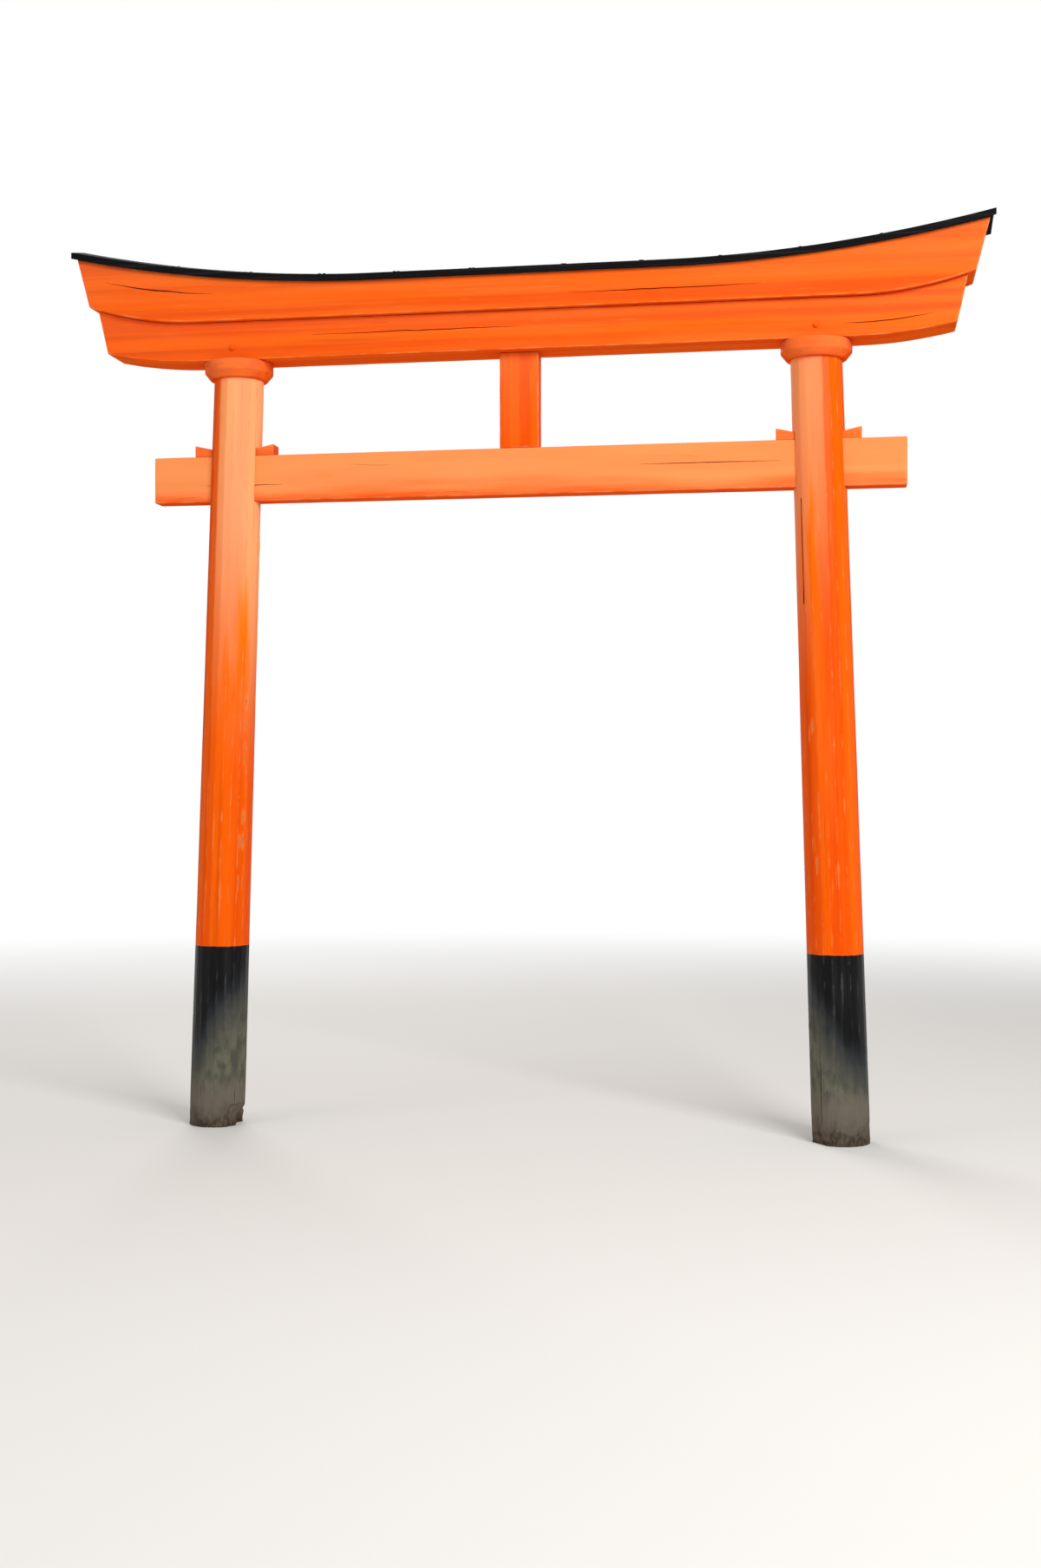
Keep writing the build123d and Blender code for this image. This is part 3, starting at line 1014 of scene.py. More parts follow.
def cut_away(bm: BMesh, cutter: BMesh) -> BMesh:
    """Cuts one closed mesh out of another.

    Args:
        bm: the mesh that is cut. It is freed.
        cutter: the mesh that is taken away. It is freed.

    Returns:
        What is left.
    """
    body, tool = placed(bm, "cut"), placed(cutter, "cutter")
    modifier = body.modifiers.new("cut", "BOOLEAN")
    modifier.operation, modifier.solver, modifier.object = "DIFFERENCE", "EXACT", tool
    evaluated = body.evaluated_get(bpy.context.evaluated_depsgraph_get())
    left = bmesh.new()
    left.from_mesh(evaluated.to_mesh())
    evaluated.to_mesh_clear()
    for mesh in (body.data, tool.data):
        bpy.data.meshes.remove(mesh)
    return left


@dataclass(frozen=True)
class Knot:
    """A knot that swells under the paint: its angle round the log, height and half width."""

    angle: float
    height: float
    half_width: float
    slenderness: float = 1.6
    rise: float = 1.1 * MM
    ring_depth: float = 0.5 * MM
    ring_reach: float = 1.5
    ring_width: float = 0.3

    def relief(self, around: float, height: float, radius: float) -> float:
        """How far the surface stands out, with a shallow ring round the knot.

        Args:
            around: the place's angle round the log.
            height: its height.
            radius: the log's radius.

        Returns:
            The rise, which is below 0 in the ring.
        """
        turn = math.remainder(around - self.angle, math.tau) * radius
        half_height = self.slenderness * self.half_width
        reach = math.hypot(turn / self.half_width, (height - self.height) / half_height)
        ring = math.exp(-(((reach - self.ring_reach) / self.ring_width) ** 2))
        return self.rise * math.exp(-reach * reach) - self.ring_depth * ring


@dataclass(frozen=True)
class Check(OnLog):
    """A drying check in a log: its lowest and highest point, width and depth."""

    low: float
    high: float
    width: float
    depth: float


@dataclass(frozen=True)
class Hollow(OnLog):
    """A hollow that rot has made in a root: its height, half width, half height and depth.

    A lip near 1 gives it a sharp step round its rim, and corners over 2 make it squarer than an oval.
    """

    height: float
    half_width: float
    half_height: float
    depth: float
    lip: float = 0.2
    corners: float = 2.0

    def loss(self, turn: float, height: float, ragged: float) -> float:
        """How deep it is at a place on the log.

        Args:
            turn: the distance round the log from the hollow's middle.
            height: the height above the ground.
            ragged: how far its rim is drawn in there, as a share of its size.

        Returns:
            The depth.
        """
        across = abs(turn) / self.half_width
        up = abs(height - self.height) / self.half_height
        reach = (across**self.corners + up**self.corners) ** (1 / self.corners)
        return self.depth * ease_in(reach + ragged * (1.2 - self.lip), 1.0, self.lip)


@dataclass
class Post:
    """One post: a log planed in narrow flats, with a vermilion shaft, a black root and a ring on its head."""

    plan: Plan
    side: Side
    seed: float
    checks: tuple[Check, ...]
    root_checks: tuple[Check, ...]
    hollows: tuple[Hollow, ...]
    marks: tuple[Mark, ...]
    runs: tuple[Mark, ...]
    sun: Sun
    columns: int = 160
    ring_gap: float = 9 * MM
    flats: int = 20
    flatness: float = 0.75
    # The log keeps this far inside its solid, so that neither a knot nor a wave stands out of it.
    spare: float = 1.4 * MM
    wave_lengths: tuple[float, float] = (0.9, 0.22)
    grain_turn: float = 0.05
    knot_count: int = 7
    knot_heights: tuple[float, float] = (0.12, 1.8)
    # Rot crumbles the foot this deep at the ground, and less up to a height. A crumb and a rag are sizes
    # of noise, and a hollow's rim is ragged by a share of the hollow's size.
    crumbled: float = 3.5 * MM
    crumbled_top: float = 0.11
    crumb: float = 0.018
    ragged: float = 0.3
    rag: float = 0.022
    rot_reach: float = 0.12
    mortise_reach: float = 0.14
    cheek_gap: float = 1 * MM
    ring_radius: float = 104 * MM
    ring_foot_radius: float = 86 * MM
    ring_bore: float = 31.2 * MM
    ring_bevel: float = 22 * MM
    ring_ease: float = 3 * MM
    ring_crease: float = 0.3
    ring_steps: int = 128
    ring_worn: Wear = Wear(0.6 * MM, 50 * MM)

    def __post_init__(self) -> None:
        """Scatters the knots."""
        draw = random.Random(self.seed)
        self.knots = [
            Knot(draw.uniform(0, math.tau), draw.uniform(*self.knot_heights), draw.uniform(9, 16) * MM)
            for _ in range(self.knot_count)
        ]

    @property
    def place(self) -> Place:
        """The frame of the wood's pattern: on the log's axis, leaning with it."""
        return Place(self.plan.on_post(self.side, 0.0), (0.0, -self.side.value * self.plan.lean, 0.0))

    def off_flat(self, angle: float) -> float:
        """How far an angle round the log lies from the middle of its flat."""
        half_flat = math.pi / self.flats
        return (angle + 0.1 * self.seed) % (2 * half_flat) - half_flat

    def surface(self, angle: float, height: float) -> float:
        """The log's radius at a place on it, after planing, knots and wear.

        Args:
            angle: the angle round the log, before its grain turns.
            height: the height above the ground.

        Returns:
            The radius.
        """
        full = self.plan.radius(height) - self.spare
        planed = full * math.cos(math.pi / self.flats) / math.cos(self.off_flat(angle))
        around = Vector((math.cos(angle), math.sin(angle), 3 * height))
        long, short = self.wave_lengths
        waves = 0.5 * swell(around, long, self.seed) + 0.25 * swell(around, short, self.seed + 5)
        knots = sum(knot.relief(angle, height, full) for knot in self.knots)
        return full + self.flatness * (planed - full) + MM * waves + knots

    def rot(self, angle: float, height: float) -> float:
        """How deep rot has gone at a place on the root.

        Args:
            angle: the angle round the log, before its grain turns.
            height: the height above the ground.

        Returns:
            The depth.
        """
        radius = self.plan.foot_radius
        spot = Vector((radius * math.cos(angle), radius * math.sin(angle), height))
        crumbs = 0.5 + 0.5 * swell(spot, self.crumb, self.seed + 9)
        losses = [self.crumbled * ease_in(height, self.crumbled_top, 0.0) * crumbs]
        ragged = self.ragged * swell(spot, self.rag, self.seed + 3)
        for hollow in self.hollows:
            turn = math.remainder(angle - hollow.angle, math.tau) * radius
            losses.append(hollow.loss(turn, height, ragged))
        return max(losses)

    def column(self, angle: float) -> int:
        """The number of the column of vertices at an angle round the log."""
        return round(angle % math.tau / math.tau * self.columns) % self.columns

    def log(self, low: float, high: float, checks: tuple[Check, ...], rotted: bool = False) -> BMesh:
        """One length of the log, with its drying checks open.

        Args:
            low: where it starts, as a height.
            high: where it ends.
            checks: its checks, each along one column of vertices.
            rotted: whether rot has worn its lower end, which then has a finer mesh.

        Returns:
            The mesh in its place. Its layer "arris" is 1 between two flats.
        """
        bm = bmesh.new()
        bm.verts.layers.float.new("bare")
        column, worn = bm.verts.layers.int.new("column"), bm.verts.layers.float.new("arris")
        size = {"segments": self.columns, "radius1": 1, "radius2": 1, "depth": high - low}
        bmesh.ops.create_cone(bm, cap_ends=True, matrix=Matrix.Translation((0, 0, (low + high) / 2)), **size)
        divide(bm, ALONG_Z, (high - low) / 2, round((high - low) / self.ring_gap))
        if rotted:
            steps = running(bm, ALONG_Z, self.ring_gap / 2)
            steps = [edge for edge in steps if max(vert.co.z for vert in edge.verts) < self.rot_reach]
            bmesh.ops.subdivide_edges(bm, edges=steps, cuts=2, use_grid_fill=True)
        for vert in bm.verts:
            angle, height = math.atan2(vert.co.y, vert.co.x) % math.tau, vert.co.z
            vert[column] = self.column(angle)
            vert[worn] = abs(self.off_flat(angle)) * self.flats / math.pi
            radius = self.surface(angle, height) - (self.rot(angle, height) if rotted else 0.0)
            # The grain turns a little way round the log as it climbs.
            angle += self.grain_turn * noise.noise(Vector((1.1 * height, self.seed, 0.0)))
            outward = Vector((math.cos(angle), math.sin(angle), 0.0))
            vert.co = self.plan.on_post(self.side, height) + radius * outward
        for number, check in enumerate(checks):
            path = [v for v in bm.verts if v[column] == self.column(check.angle) and len(v.link_edges) == 4]
            path = sorted((v for v in path if check.low <= v.co.z <= check.high), key=lambda vert: vert.co.z)
            open_check(bm, path, check.width, check.depth, self.seed + number)
        return bm

    def mortise(self) -> BMesh:
        """The slot for the tie beam and its wedges, whose roof falls to the middle of the post.

        Returns:
            Its mesh, to be cut out of the post.
        """
        foot, top = self.plan.beam_low, self.plan.beam_top
        size = Vector((2 * self.mortise_reach, self.plan.beam_thickness + 2 * self.cheek_gap, top - foot))
        bm = bmesh.new()
        bmesh.ops.create_cube(bm, size=1.0, matrix=Matrix.Diagonal((*size, 1.0)))
        bmesh.ops.subdivide_edges(bm, edges=running(bm, ALONG_X, self.mortise_reach), cuts=1)
        for vert in bm.verts:
            if vert.co.z > 0:
                vert.co.z += self.plan.wedge_tip + self.plan.wedge_slope * abs(vert.co.x)
        middle = self.plan.on_post(self.side, top) + Vector((0.0, 0.0, (foot - top) / 2))
        bmesh.ops.translate(bm, verts=bm.verts, vec=middle)
        return bm

    def build_shaft(self) -> None:
        """The vermilion shaft, from the paint line to the head."""
        paint = VermilionPaint(
            f"planed cedar, {self.side.word} post",
            self.place,
            self.seed,
            sun=self.sun,
            marks=self.marks,
            runs=self.runs,
            log_radius=(self.plan.foot_radius + self.plan.head_radius) / 2,
            paint_line=self.plan.paint_line,
        )
        bm = self.log(self.plan.paint_line, self.plan.head, self.checks)
        paint.dress(cut_away(bm, self.mortise()), f"post_{self.side.word}", "shaft")

    def build_root(self) -> None:
        """The black root, from the ground to the paint line."""
        paint = BlackFootPaint(
            f"a cedar log, algae and soil, {self.side.word} root",
            self.place,
            self.seed,
            damp=(-0.96 * self.side.value, 0.29, 0.0),
            log_radius=self.plan.foot_radius,
            paint_line=self.plan.paint_line,
        )
        bm = self.log(0.0, self.plan.paint_line, self.root_checks, rotted=True)
        paint.dress(bm, f"post_root_{self.side.word}", "black")

    def build_ring(self) -> None:
        """The ring on the post's head: turned, with a bevelled foot."""
        height = self.plan.underside - self.plan.head
        outline = (
            (self.ring_bore, 0.0),
            (self.ring_foot_radius, 0.0),
            (self.ring_radius, self.ring_bevel),
            (self.ring_radius, height),
            (self.ring_bore, height),
        )
        bm = bmesh.new()
        corners = [bm.verts.new((across, 0.0, up)) for across, up in outline]
        edges = [bm.edges.new(pair) for pair in zip(corners, corners[1:] + corners[:1])]
        turn = {"cent": (0, 0, 0), "axis": (0, 0, 1), "angle": math.tau, "steps": self.ring_steps}
        bmesh.ops.spin(bm, geom=corners + edges, use_merge=True, **turn)
        bmesh.ops.remove_doubles(bm, verts=bm.verts, dist=1e-6)
        bmesh.ops.recalc_face_normals(bm, faces=bm.faces)
        outer = (edge for edge in bm.edges if edge.verts[0].co.xy.length > 2 * self.ring_bore)
        round_over(bm, arrises(outer, self.ring_crease), self.ring_ease)
        divide(bm, ALONG_Z, 0.3 * height, 3)
        self.ring_worn.on(bm, self.seed + 31)
        middle = self.plan.on_post(self.side, self.plan.head)
        bmesh.ops.translate(bm, verts=bm.verts, vec=middle)
        # A paler front on the ring: sun bleaching and a painted highlight.
        sun = Sun((0.0, -1.0, 0.2), 1.9, 2.4, 0.2, 0.5)
        wood = f"a turned cedar ring, {self.side.word}"
        paint = VermilionPaint(wood, Place.lengthwise(middle), self.seed + 33, sun, peel=0.06)
        paint.dress(bm, f"capital_ring_{self.side.word}", "turned")

    def build(self) -> None:
        """The whole post."""
        self.build_shaft()
        self.build_root()
        self.build_ring()


@dataclass(frozen=True)
class FaceCheck:
    """A drying check along a timber's front or back face: where it starts and ends along X, and its level."""

    start: float
    end: float
    level: float
    facing: Facing
    width: float = 3 * MM
    depth: float = 10 * MM

    def open(self, bm: BMesh, half: float, seed: float) -> None:
        """Opens it in a timber that still lies about the origin.

        Args:
            bm: the timber.
            half: half of its thickness.
            seed: the timber's own.
        """
        flat = [v for v in bm.verts if abs(v.co.y - self.facing.value * half) < ON_LINE]
        level = min(flat, key=lambda vert: abs(vert.co.z - self.level)).co.z
        path = [v for v in flat if abs(v.co.z - level) < ON_LINE and self.start <= v.co.x <= self.end]
        open_check(bm, sorted(path, key=lambda vert: vert.co.x), self.width, self.depth, seed + self.start)


@dataclass
class TieBeam:
    """The straight beam through both posts, and the four wedges driven over it."""

    plan: Plan
    seed: float = 41.0
    cuts: tuple[int, int, int] = (150, 3, 13)
    ease: float = 4 * MM
    worn: Wear = Wear(0.8 * MM, 90 * MM)
    checks: tuple[FaceCheck, ...] = (
        FaceCheck(0.34, 0.78, 0.012, Facing.FRONT, 2.4 * MM, 7 * MM),
        FaceCheck(-0.98, -0.72, -0.02, Facing.FRONT, 2.4 * MM, 7 * MM),
        FaceCheck(-0.4, 0.1, 0.03, Facing.BACK, 2.4 * MM, 7 * MM),
    )
    wedge_ease: float = 2 * MM
    wedge_proud: float = 46 * MM
    wedge_tip_gap: float = 3 * MM
    wedge_head: float = 30 * MM
    wedge_cuts: tuple[int, int, int] = (8, 4, 2)
    wedge_worn: Wear = Wear(0.5 * MM, 20 * MM)

    def build_beam(self) -> None:
        """The beam, sawn and eased, with a few checks along its faces."""
        plan = self.plan
        size = Vector((2 * plan.beam_half_length, plan.beam_thickness, plan.beam_top - plan.beam_low))
        bm = sawn_timber(size, self.cuts, self.ease)
        for check in self.checks:
            check.open(bm, size.y / 2, self.seed)
        self.worn.on(bm, self.seed)
        middle = plan.centre((plan.beam_low + plan.beam_top) / 2)
        bmesh.ops.translate(bm, verts=bm.verts, vec=middle)
        # Its front face is painted peach: sun bleaching and a painted highlight together.
        paint = VermilionPaint(
            "a planed cedar tie beam",
            Place.lengthwise(middle),
            self.seed,
            Sun((0.0, -1.0, 0.25), 1.885, 1.95, 0.8, 0.1),
            fresh="#F65000",
            bleached_and_highlit="#FA9E5C",
            pink="#F69656",
            peel=0.05,
            lengthwise=True,
        )
        paint.dress(bm, "tie_beam", "planed")

    def build_wedge(self, side: Side, drive: Drive) -> None:
        """One wedge: thin towards the post's axis, with a head that stands out of the post.

        Args:
            side: the post that it is driven into.
            drive: how it is driven.
        """
        towards = side.value * drive.value
        foot = self.plan.on_post(side, self.plan.beam_top)
        length = self.plan.radius(foot.z) + self.wedge_proud - self.wedge_tip_gap
        size = Vector((length, self.plan.beam_thickness - 2 * self.ease, self.wedge_head))
        bm = sawn_timber(size, self.wedge_cuts, self.wedge_ease)
        for vert in bm.verts:
            out = vert.co.x + length / 2 + self.wedge_tip_gap
            up = (vert.co.z / size.z + 0.5) * (self.plan.wedge_tip + self.plan.wedge_slope * out)
            vert.co = foot + Vector((towards * out, vert.co.y, up))
        if towards < 0:
            bmesh.ops.reverse_faces(bm, faces=bm.faces)
        self.wedge_worn.on(bm, self.seed + foot.x + towards)
        node, seed = f"wedge_{side.word}_{drive.word}", self.seed + 3 * foot.x + towards
        # The wedge's front is painted paler: sun bleaching and a painted highlight.
        place, sun = Place.lengthwise(foot), Sun((0.0, -1.0, 0.3), 1.9, 2.2, 0.3)
        paint = VermilionPaint(f"an oak wedge, {node}", place, seed, sun, peel=0.12, lengthwise=True)
        paint.dress(bm, node, "split")

    def build(self) -> None:
        """The beam and its wedges."""
        self.build_beam()
        for side in Side:
            for drive in Drive:
                self.build_wedge(side, drive)


@dataclass(frozen=True)
class Sweep:
    """The line of a lintel's edge: level in the middle, then rising on an arc to the end."""

    height: float
    level_half: float
    rise: float
    end: float

    def at(self, away: float) -> float:
        """The line's height at a distance from the middle of the gate.

        Args:
            away: the distance.

        Returns:
            The height.
        """
        run = max(0.0, away - self.level_half)
        whole = self.end - self.level_half
        radius = (whole**2 + self.rise**2) / (2 * self.rise)
        return self.height + radius - math.sqrt(radius**2 - run**2)


@dataclass(frozen=True)
class Lintel:
    """One lintel, bent between the swept lines of its underside and its top, with raked ends.

    Its depth is what it has before it is bent, and its end is where its lower corners are.
    """

    plan: Plan
    word: str
    thickness: float
    depth: float
    end: float
    lower: Sweep
    upper: Sweep
    slope: float
    cuts: tuple[int, int, int]
    checks: tuple[FaceCheck, ...]
    seed: float
    worn: Wear
    sun: Sun
    check_seed: float
    ease: float = 3 * MM
    end_rake: float = 0.24

    @property
    def upper_end(self) -> float:
        """Where its upper corners are, past the lower ones."""
        return self.end + self.end_rake * (self.upper.at(self.end) - self.lower.at(self.end))

    def build(self) -> None:
        """Saws the timber, opens its checks, bends it, wears it and paints it."""
        size = Vector((2 * self.end, self.thickness, self.depth))
        bm = sawn_timber(size, self.cuts, self.ease)
        for check in self.checks:
            check.open(bm, size.y / 2, self.check_seed)
        for vert in bm.verts:
            share = vert.co.z / self.depth + 0.5
            across = vert.co.x * (1 + (self.upper_end / self.end - 1) * share)
            low, high = self.lower.at(abs(across)), self.upper.at(abs(across)) - self.slope * abs(vert.co.y)
            vert.co = Vector((self.plan.centre_x + across, vert.co.y, low + share * (high - low)))
        self.worn.on(bm, self.seed)
        wood = f"the cedar {self.word} lintel"
        place = Place.lengthwise(self.plan.centre(self.lower.height))
        paint = VermilionPaint(wood, place, self.seed, self.sun, lengthwise=True)
        paint.dress(bm, f"{self.word}_lintel", "swept")


@dataclass
class Crown:
    """Everything above the tie beam, apart from the rings: lintels, centre strut, pins and coping boards."""

    plan: Plan
    seed: float = 71.0
    lower_thickness: float = 132 * MM
    upper_thickness: float = 172 * MM
    upper_depth: float = 104 * MM
    lower_overhang: float = 400 * MM
    upper_overhang: float = 452 * MM
    roof_slope: float = 0.27
    underside_rise: float = 44 * MM
    bed_rise: float = 56 * MM
    ridge_rise: float = 92 * MM
    ridge_level_half: float = 430 * MM
    seat_half: float = 984 * MM
    strut_width: float = 118 * MM
    strut_thickness: float = 56 * MM
    strut_ease: float = 4 * MM
    strut_cuts: tuple[int, int, int] = (9, 4, 20)
    strut_worn: Wear = Wear(0.7 * MM, 60 * MM)
    pin_radius: float = 9 * MM
    pin_proud: float = 5 * MM
    pin_height: float = 38 * MM
    pin_ease: float = 2.2 * MM
    pin_sides: int = 40
    board_thickness: float = 20 * MM
    board_overhang: float = 14 * MM
    board_ease: float = 2 * MM
    board_cuts: tuple[int, int, int] = (90, 4, 1)
    board_worn: Wear = Wear(0.5 * MM, 80 * MM)
    nail_spacing: float = 230 * MM
    nail_rows: tuple[float, float] = (0.28, 0.8)
    nail_radius: float = 5.5 * MM
    nail_height: float = 2 * MM
    nail_sides: int = 14
    nail_crown: float = 0.75
    nail_ease: float = 0.6
    first_nail: float = 0.6

    def __post_init__(self) -> None:
        """Sets out the lintels and the swept lines that they share."""
        plan = self.plan
        reach = plan.on_post(Side.RIGHT, plan.underside).x - plan.centre_x
        end = reach + self.upper_overhang
        ridge_height = plan.bed + self.upper_depth + self.roof_slope * self.upper_thickness / 2
        underside = Sweep(plan.underside, self.seat_half, self.underside_rise, end)
        bed = Sweep(plan.bed, self.seat_half, self.bed_rise, end)
        ridge = Sweep(ridge_height, self.ridge_level_half, self.ridge_rise, end)
        lower_checks = (
            FaceCheck(-0.62, 0.02, 0.01, Facing.FRONT),
            FaceCheck(0.93, 1.2, -0.015, Facing.FRONT),
            FaceCheck(0.1, 0.55, 0.0, Facing.BACK),
            FaceCheck(-1.22, -0.97, 0.02, Facing.BACK),
        )
        upper_checks = (
            FaceCheck(0.15, 0.72, -0.01, Facing.FRONT),
            FaceCheck(-1.26, -0.9, 0.012, Facing.FRONT),
            FaceCheck(-0.7, -0.2, 0.02, Facing.BACK),
            FaceCheck(0.98, 1.28, 0.0, Facing.BACK),
        )
        self.lower = Lintel(
            plan,
            word="lower",
            thickness=self.lower_thickness,
            depth=plan.bed - plan.underside,
            end=reach + self.lower_overhang,
            lower=underside,
            upper=bed,
            slope=0.0,
            cuts=(170, 5, 11),
            checks=lower_checks,
            check_seed=self.seed,
            seed=self.seed,
            worn=Wear(0.9 * MM, 110 * MM),
            # A paler front on the lower lintel: sun bleaching and a painted highlight.
            sun=Sun((0.0, -1.0, 0.1), 2.25, 2.6, 0.14, 0.25),
        )
        self.upper = Lintel(
            plan,
            word="upper",
            thickness=self.upper_thickness,
            depth=self.upper_depth,
            end=end,
            lower=bed,
            upper=ridge,
            slope=self.roof_slope,
            cuts=(180, 7, 12),
            checks=upper_checks,
            check_seed=self.seed,
            seed=self.seed + 5,
            worn=Wear(0.9 * MM, 120 * MM),
            # A paler front on the upper lintel: sun bleaching and a painted highlight.
            sun=Sun((0.0, -1.0, 0.1), 2.35, 2.7, 0.14, 0.25),
        )

    def build_strut(self) -> None:
        """The strut between tie beam and lower lintel."""
        foot, top = self.plan.beam_top, self.plan.underside
        size = Vector((self.strut_width, self.strut_thickness, top - foot))
        bm = sawn_timber(size, self.strut_cuts, self.strut_ease)
        self.strut_worn.on(bm, self.seed + 9)
        middle = self.plan.centre((foot + top) / 2)
        bmesh.ops.translate(bm, verts=bm.verts, vec=middle)
        # A paler front on the strut: sun bleaching and a painted highlight.
        sun = Sun((0.0, -1.0, 0.1), 2.0, 2.5, 0.2, 0.4)
        paint = VermilionPaint("the cedar centre strut", Place(middle), self.seed + 9, sun)
        paint.dress(bm, "centre_strut", "planed")

    def build_pin(self, side: Side) -> None:
        """The pin through the lower lintel and a post's tenon, from front to back.

        Args:
            side: the post.
        """
        middle = self.plan.on_post(side, self.plan.head)
        middle.z = self.plan.underside + self.pin_height
        size = {"radius1": self.pin_radius, "radius2": self.pin_radius, "segments": self.pin_sides}
        size["depth"] = self.lower_thickness + 2 * self.pin_proud
        turned = Matrix.Translation(middle) @ Matrix.Rotation(math.pi / 2, 4, "X")
        bm = bmesh.new()
        bmesh.ops.create_cone(bm, cap_ends=True, matrix=turned, **size)
        round_over(bm, arrises(bm.edges), self.pin_ease, 4)
        paint = VermilionPaint(f"an oak pin, {side.word}", Place(middle, (math.pi / 2, 0, 0)), self.seed + 13)
        paint.dress(bm, f"tenon_pin_{side.word}", "turned")

    def build_board(self, facing: Facing, side: Side) -> None:
        """One coping board, from the middle joint to an end, with its nails.

        Args:
            facing: the slope that it lies on.
            side: the half of the gate that it covers.
        """
        reach = self.upper.upper_end + self.board_overhang
        run = self.upper_thickness / 2 + self.board_overhang
        size = Vector((reach, run, self.board_thickness))
        bm = sawn_timber(size, self.board_cuts, self.board_ease)
        bmesh.ops.translate(bm, verts=bm.verts, vec=size / 2)
        for row in self.nail_rows:
            for number in range(int(reach / self.nail_spacing)):
                along = (number + self.first_nail) * self.nail_spacing
                self.add_nail(bm, Vector((along, row * run, self.board_thickness)))
        for vert in bm.verts:
            up = self.upper.upper.at(vert.co.x) - self.roof_slope * vert.co.y + vert.co.z
            vert.co = Vector((self.plan.centre_x + side.value * vert.co.x, facing.value * vert.co.y, up))
        if side.value * facing.value < 0:
            bmesh.ops.reverse_faces(bm, faces=bm.faces)
        seed = self.seed + 17 + 3 * side.value + facing.value
        self.board_worn.on(bm, seed)
        wood = f"cedar coping board, {facing.word} {side.word}"
        place = Place.lengthwise(self.plan.centre(self.upper.upper.height))
        CopingPaint(wood, place, seed).dress(bm, f"coping_{facing.word}_{side.word}", "board")

    def add_nail(self, bm: BMesh, top: Vector) -> None:
        """Adds a nail's head to a board that lies flat.

        Args:
            bm: the board.
            top: where the nail goes in.
        """
        radius, height = self.nail_radius, self.nail_height
        size = {"segments": self.nail_sides, "radius1": radius, "radius2": self.nail_crown * radius}
        size["depth"] = 2 * height
        made = bmesh.ops.create_cone(bm, cap_ends=True, matrix=Matrix.Translation(top), **size)["verts"]
        upper = [vert for vert in made if vert.co.z > top.z]
        rim = [edge for edge in bm.edges if edge.verts[0] in upper and edge.verts[1] in upper]
        round_over(bm, rim, self.nail_ease * height, 2)

    def build(self) -> None:
        """All of it, from the lintels up and out."""
        self.lower.build()
        self.upper.build()
        self.build_strut()
        for side in Side:
            self.build_pin(side)
            for facing in Facing:
                self.build_board(facing, side)


@dataclass(frozen=True)
class Lamp:
    """A soft square lamp: its place from the gate's middle, its side and its watts."""

    name: str
    offset: tuple[float, float, float]
    side: float
    watts: float


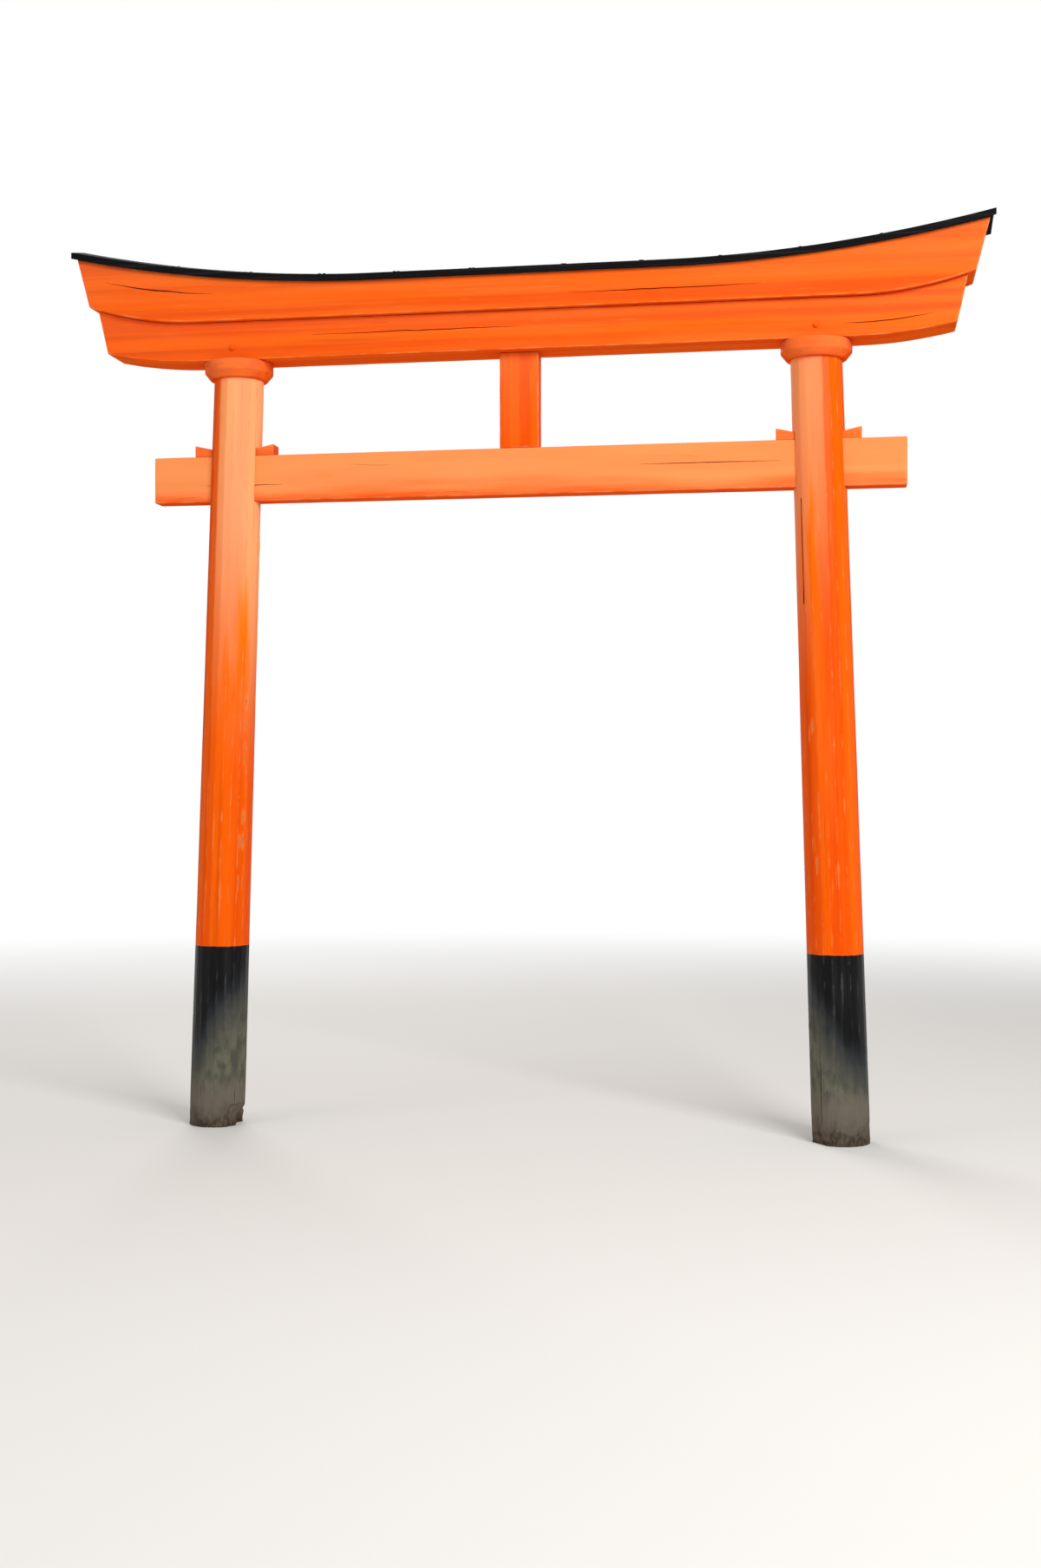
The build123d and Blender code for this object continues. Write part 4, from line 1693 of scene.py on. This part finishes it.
@dataclass
class Studio:
    """A pale floor that fades into white, soft lamps, and the camera."""

    plan: Plan
    floor_radius: float = 60.0
    floor_sides: int = 96
    floor_colour: str = "#E4E1DC"
    fade_start: float = 3.2
    fade_end: float = 8.0
    sky: str = "#F4F6F8"
    sky_strength: float = 0.5
    lamps: tuple[Lamp, ...] = (
        Lamp("key", (3.6, -4.8, 4.6), 2.8, 340.0),
        Lamp("fill", (-4.6, -4.0, 2.6), 3.0, 45.0),
        Lamp("back", (-2.6, 5.2, 4.6), 3.0, 160.0),
    )
    lamp_aim: float = 1.4
    eye: tuple[float, float, float] = (1.885, -5.6, 1.04)
    frame_height: int = 1807
    focal_pixels: float = 2190.0
    sensor_height: float = 36.0

    def build_floor(self) -> None:
        """A round floor. Past the gate it turns to plain white, so that no horizon shows."""
        bm = bmesh.new()
        middle = self.plan.centre(0.0)
        matrix = Matrix.Translation(middle)
        size = {"segments": self.floor_sides, "radius": self.floor_radius}
        bmesh.ops.create_circle(bm, cap_ends=True, matrix=matrix, **size)
        floor = placed(bm, "floor")
        r = Tree(bpy.data.materials.new("pale studio floor"))
        away = {0: r.add("TexCoord").outputs["Object"], 1: middle}
        away = r.add("VectorMath", away, operation="DISTANCE").outputs["Value"]
        path = r.add("LightPath").outputs
        seen = r.add("Math", {0: path["Is Camera Ray"], 1: path["Is Glossy Ray"]}, operation="MAXIMUM")
        seen = r.add("Math", {0: seen, 1: path["Is Transmission Ray"]}, operation="MAXIMUM")
        white = r.band(away, self.fade_start, self.fade_end, seen)
        matt = r.add("BsdfDiffuse", {"Color": self.floor_colour})
        glow = r.add("Emission", {"Color": "#FFFFFF", "Strength": 1.0})
        r.add("OutputMaterial", {"Surface": r.add("MixShader", {0: white, 1: matt, 2: glow})})
        floor.data.materials.append(r.owner)

    def build_world(self) -> None:
        """Even light from all round. The camera sees it as white."""
        world = bpy.data.worlds.new("studio")
        bpy.context.scene.world = world
        r = Tree(world)
        seen = r.add("LightPath").outputs["Is Camera Ray"]
        light = r.add("Background", {"Color": self.sky, "Strength": self.sky_strength})
        white = r.add("Background", {"Color": "#FFFFFF", "Strength": 1.0})
        r.add("OutputWorld", {"Surface": r.add("MixShader", {0: seen, 1: light, 2: white})})

    def aimed(self, name: str, data: Any, place: Vector, height: float) -> bpy.types.Object:
        """Puts a lamp or camera in the scene and turns it to the gate's middle.

        Args:
            name: its name.
            data: the lamp or lens.
            place: where it stands.
            height: how high on the gate it is aimed.

        Returns:
            The lamp or camera.
        """
        thing = bpy.data.objects.new(name, data)
        thing.location = place
        sight = self.plan.centre(height) - place
        thing.rotation_euler = sight.to_track_quat("-Z", "Y").to_euler()
        bpy.context.scene.collection.objects.link(thing)
        return thing

    def build_lamps(self) -> None:
        """The lamps, all aimed at the gate's middle."""
        for lamp in self.lamps:
            light = bpy.data.lights.new(lamp.name, "AREA")
            light.size, light.energy = lamp.side, lamp.watts
            self.aimed(lamp.name, light, self.plan.centre(0.0) + Vector(lamp.offset), self.lamp_aim)

    def build_camera(self) -> None:
        """A level camera at the photograph's eye point, turned to take in the whole gate."""
        lens = bpy.data.cameras.new("eye")
        lens.sensor_fit, lens.sensor_height = "VERTICAL", self.sensor_height
        lens.lens = self.focal_pixels / self.frame_height * self.sensor_height
        eye = Vector(self.eye)
        bpy.context.scene.camera = self.aimed("eye", lens, eye, eye.z)

    def build(self) -> None:
        """The whole studio."""
        self.build_floor()
        self.build_world()
        self.build_lamps()
        self.build_camera()
        bpy.context.scene.view_settings.view_transform = "Standard"


def main() -> None:
    """Builds the gate piece by piece and the studio round it, and logs each piece's count of faces."""
    logging.basicConfig(level=logging.INFO, format="%(name)s: %(message)s")
    plan = Plan.from_frame()
    left = Post(
        plan,
        Side.LEFT,
        seed=11.0,
        checks=(Check(335, 1.80, 1.893, 1.8 * MM, 5 * MM), Check(120, 1.1, 1.7, 2.4 * MM, 8 * MM)),
        root_checks=(Check(326, 0.062, 0.15, 2.6 * MM, 12 * MM), Check(150, 0.05, 0.36, 5 * MM, 20 * MM)),
        hollows=(
            Hollow(5, 0.0, 62 * MM, 80 * MM, 24 * MM),
            Hollow(349, 0.008, 17 * MM, 24 * MM, 34 * MM),
            Hollow(332, 0.0, 32 * MM, 71 * MM, 7 * MM, lip=0.93, corners=5.0),
            Hollow(170, 0.0, 40 * MM, 45 * MM, 9 * MM),
        ),
        marks=(
            Mark(328, 1.296, 5.5 * MM, 20 * MM),
            Mark(328, 1.222, 4.5 * MM, 12 * MM),
            Mark(327, 1.16, 4.2 * MM, 10 * MM),
            Mark(326, 1.118, 2.2 * MM, 22 * MM),
            Mark(327, 0.943, 5 * MM, 21 * MM),
            Mark(327, 0.867, 5.5 * MM, 25 * MM),
            Mark(319, 0.867, 3.2 * MM, 24 * MM),
            Mark(318, 0.737, 2.6 * MM, 24 * MM),
            Mark(329, 0.742, 1.6 * MM, 26 * MM),
            Mark(315, 1.004, 1.8 * MM, 5 * MM),
            Mark(8, 0.985, 2.4 * MM, 11 * MM),
            Mark(12, 0.905, 2.6 * MM, 24 * MM),
        ),
        # The side towards the passage is painted peach with amber streaks: sun bleaching and a painted
        # highlight.
        runs=(Mark(311, 1.43, 34 * MM, 0.25), Mark(278, 1.33, 11 * MM, 0.16)),
        sun=Sun((0.75, -0.66, 0.05), 1.12, 1.98, 1.0, 0.2, tilt=(0.12, 0.0, 0.0)),
    )
    right = Post(
        plan,
        Side.RIGHT,
        seed=23.0,
        checks=(Check(222, 1.56, 1.86, 7 * MM, 26 * MM), Check(60, 0.8, 1.5, 2.4 * MM, 8 * MM)),
        root_checks=(Check(232, 0.02, 0.33, 8 * MM, 30 * MM), Check(20, 0.08, 0.42, 4 * MM, 16 * MM)),
        hollows=(Hollow(215, 0.0, 40 * MM, 40 * MM, 9 * MM), Hollow(30, 0.0, 45 * MM, 50 * MM, 10 * MM)),
        marks=(Mark(236, 1.21, 5 * MM, 18 * MM), Mark(238, 0.81, 4.5 * MM, 22 * MM)),
        runs=(Mark(250, 1.66, 22 * MM, 0.24),),
        # The side towards the passage is painted peach: sun bleaching and a painted highlight.
        sun=Sun((-0.85, -0.5, 0.05), 1.35, 2.3, 0.7, 0.25, tilt=(-0.15, 0.0, 0.0)),
    )
    for part in (left, right, TieBeam(plan), Crown(plan), Studio(plan)):
        part.build()


if __name__ == "__main__":
    main()
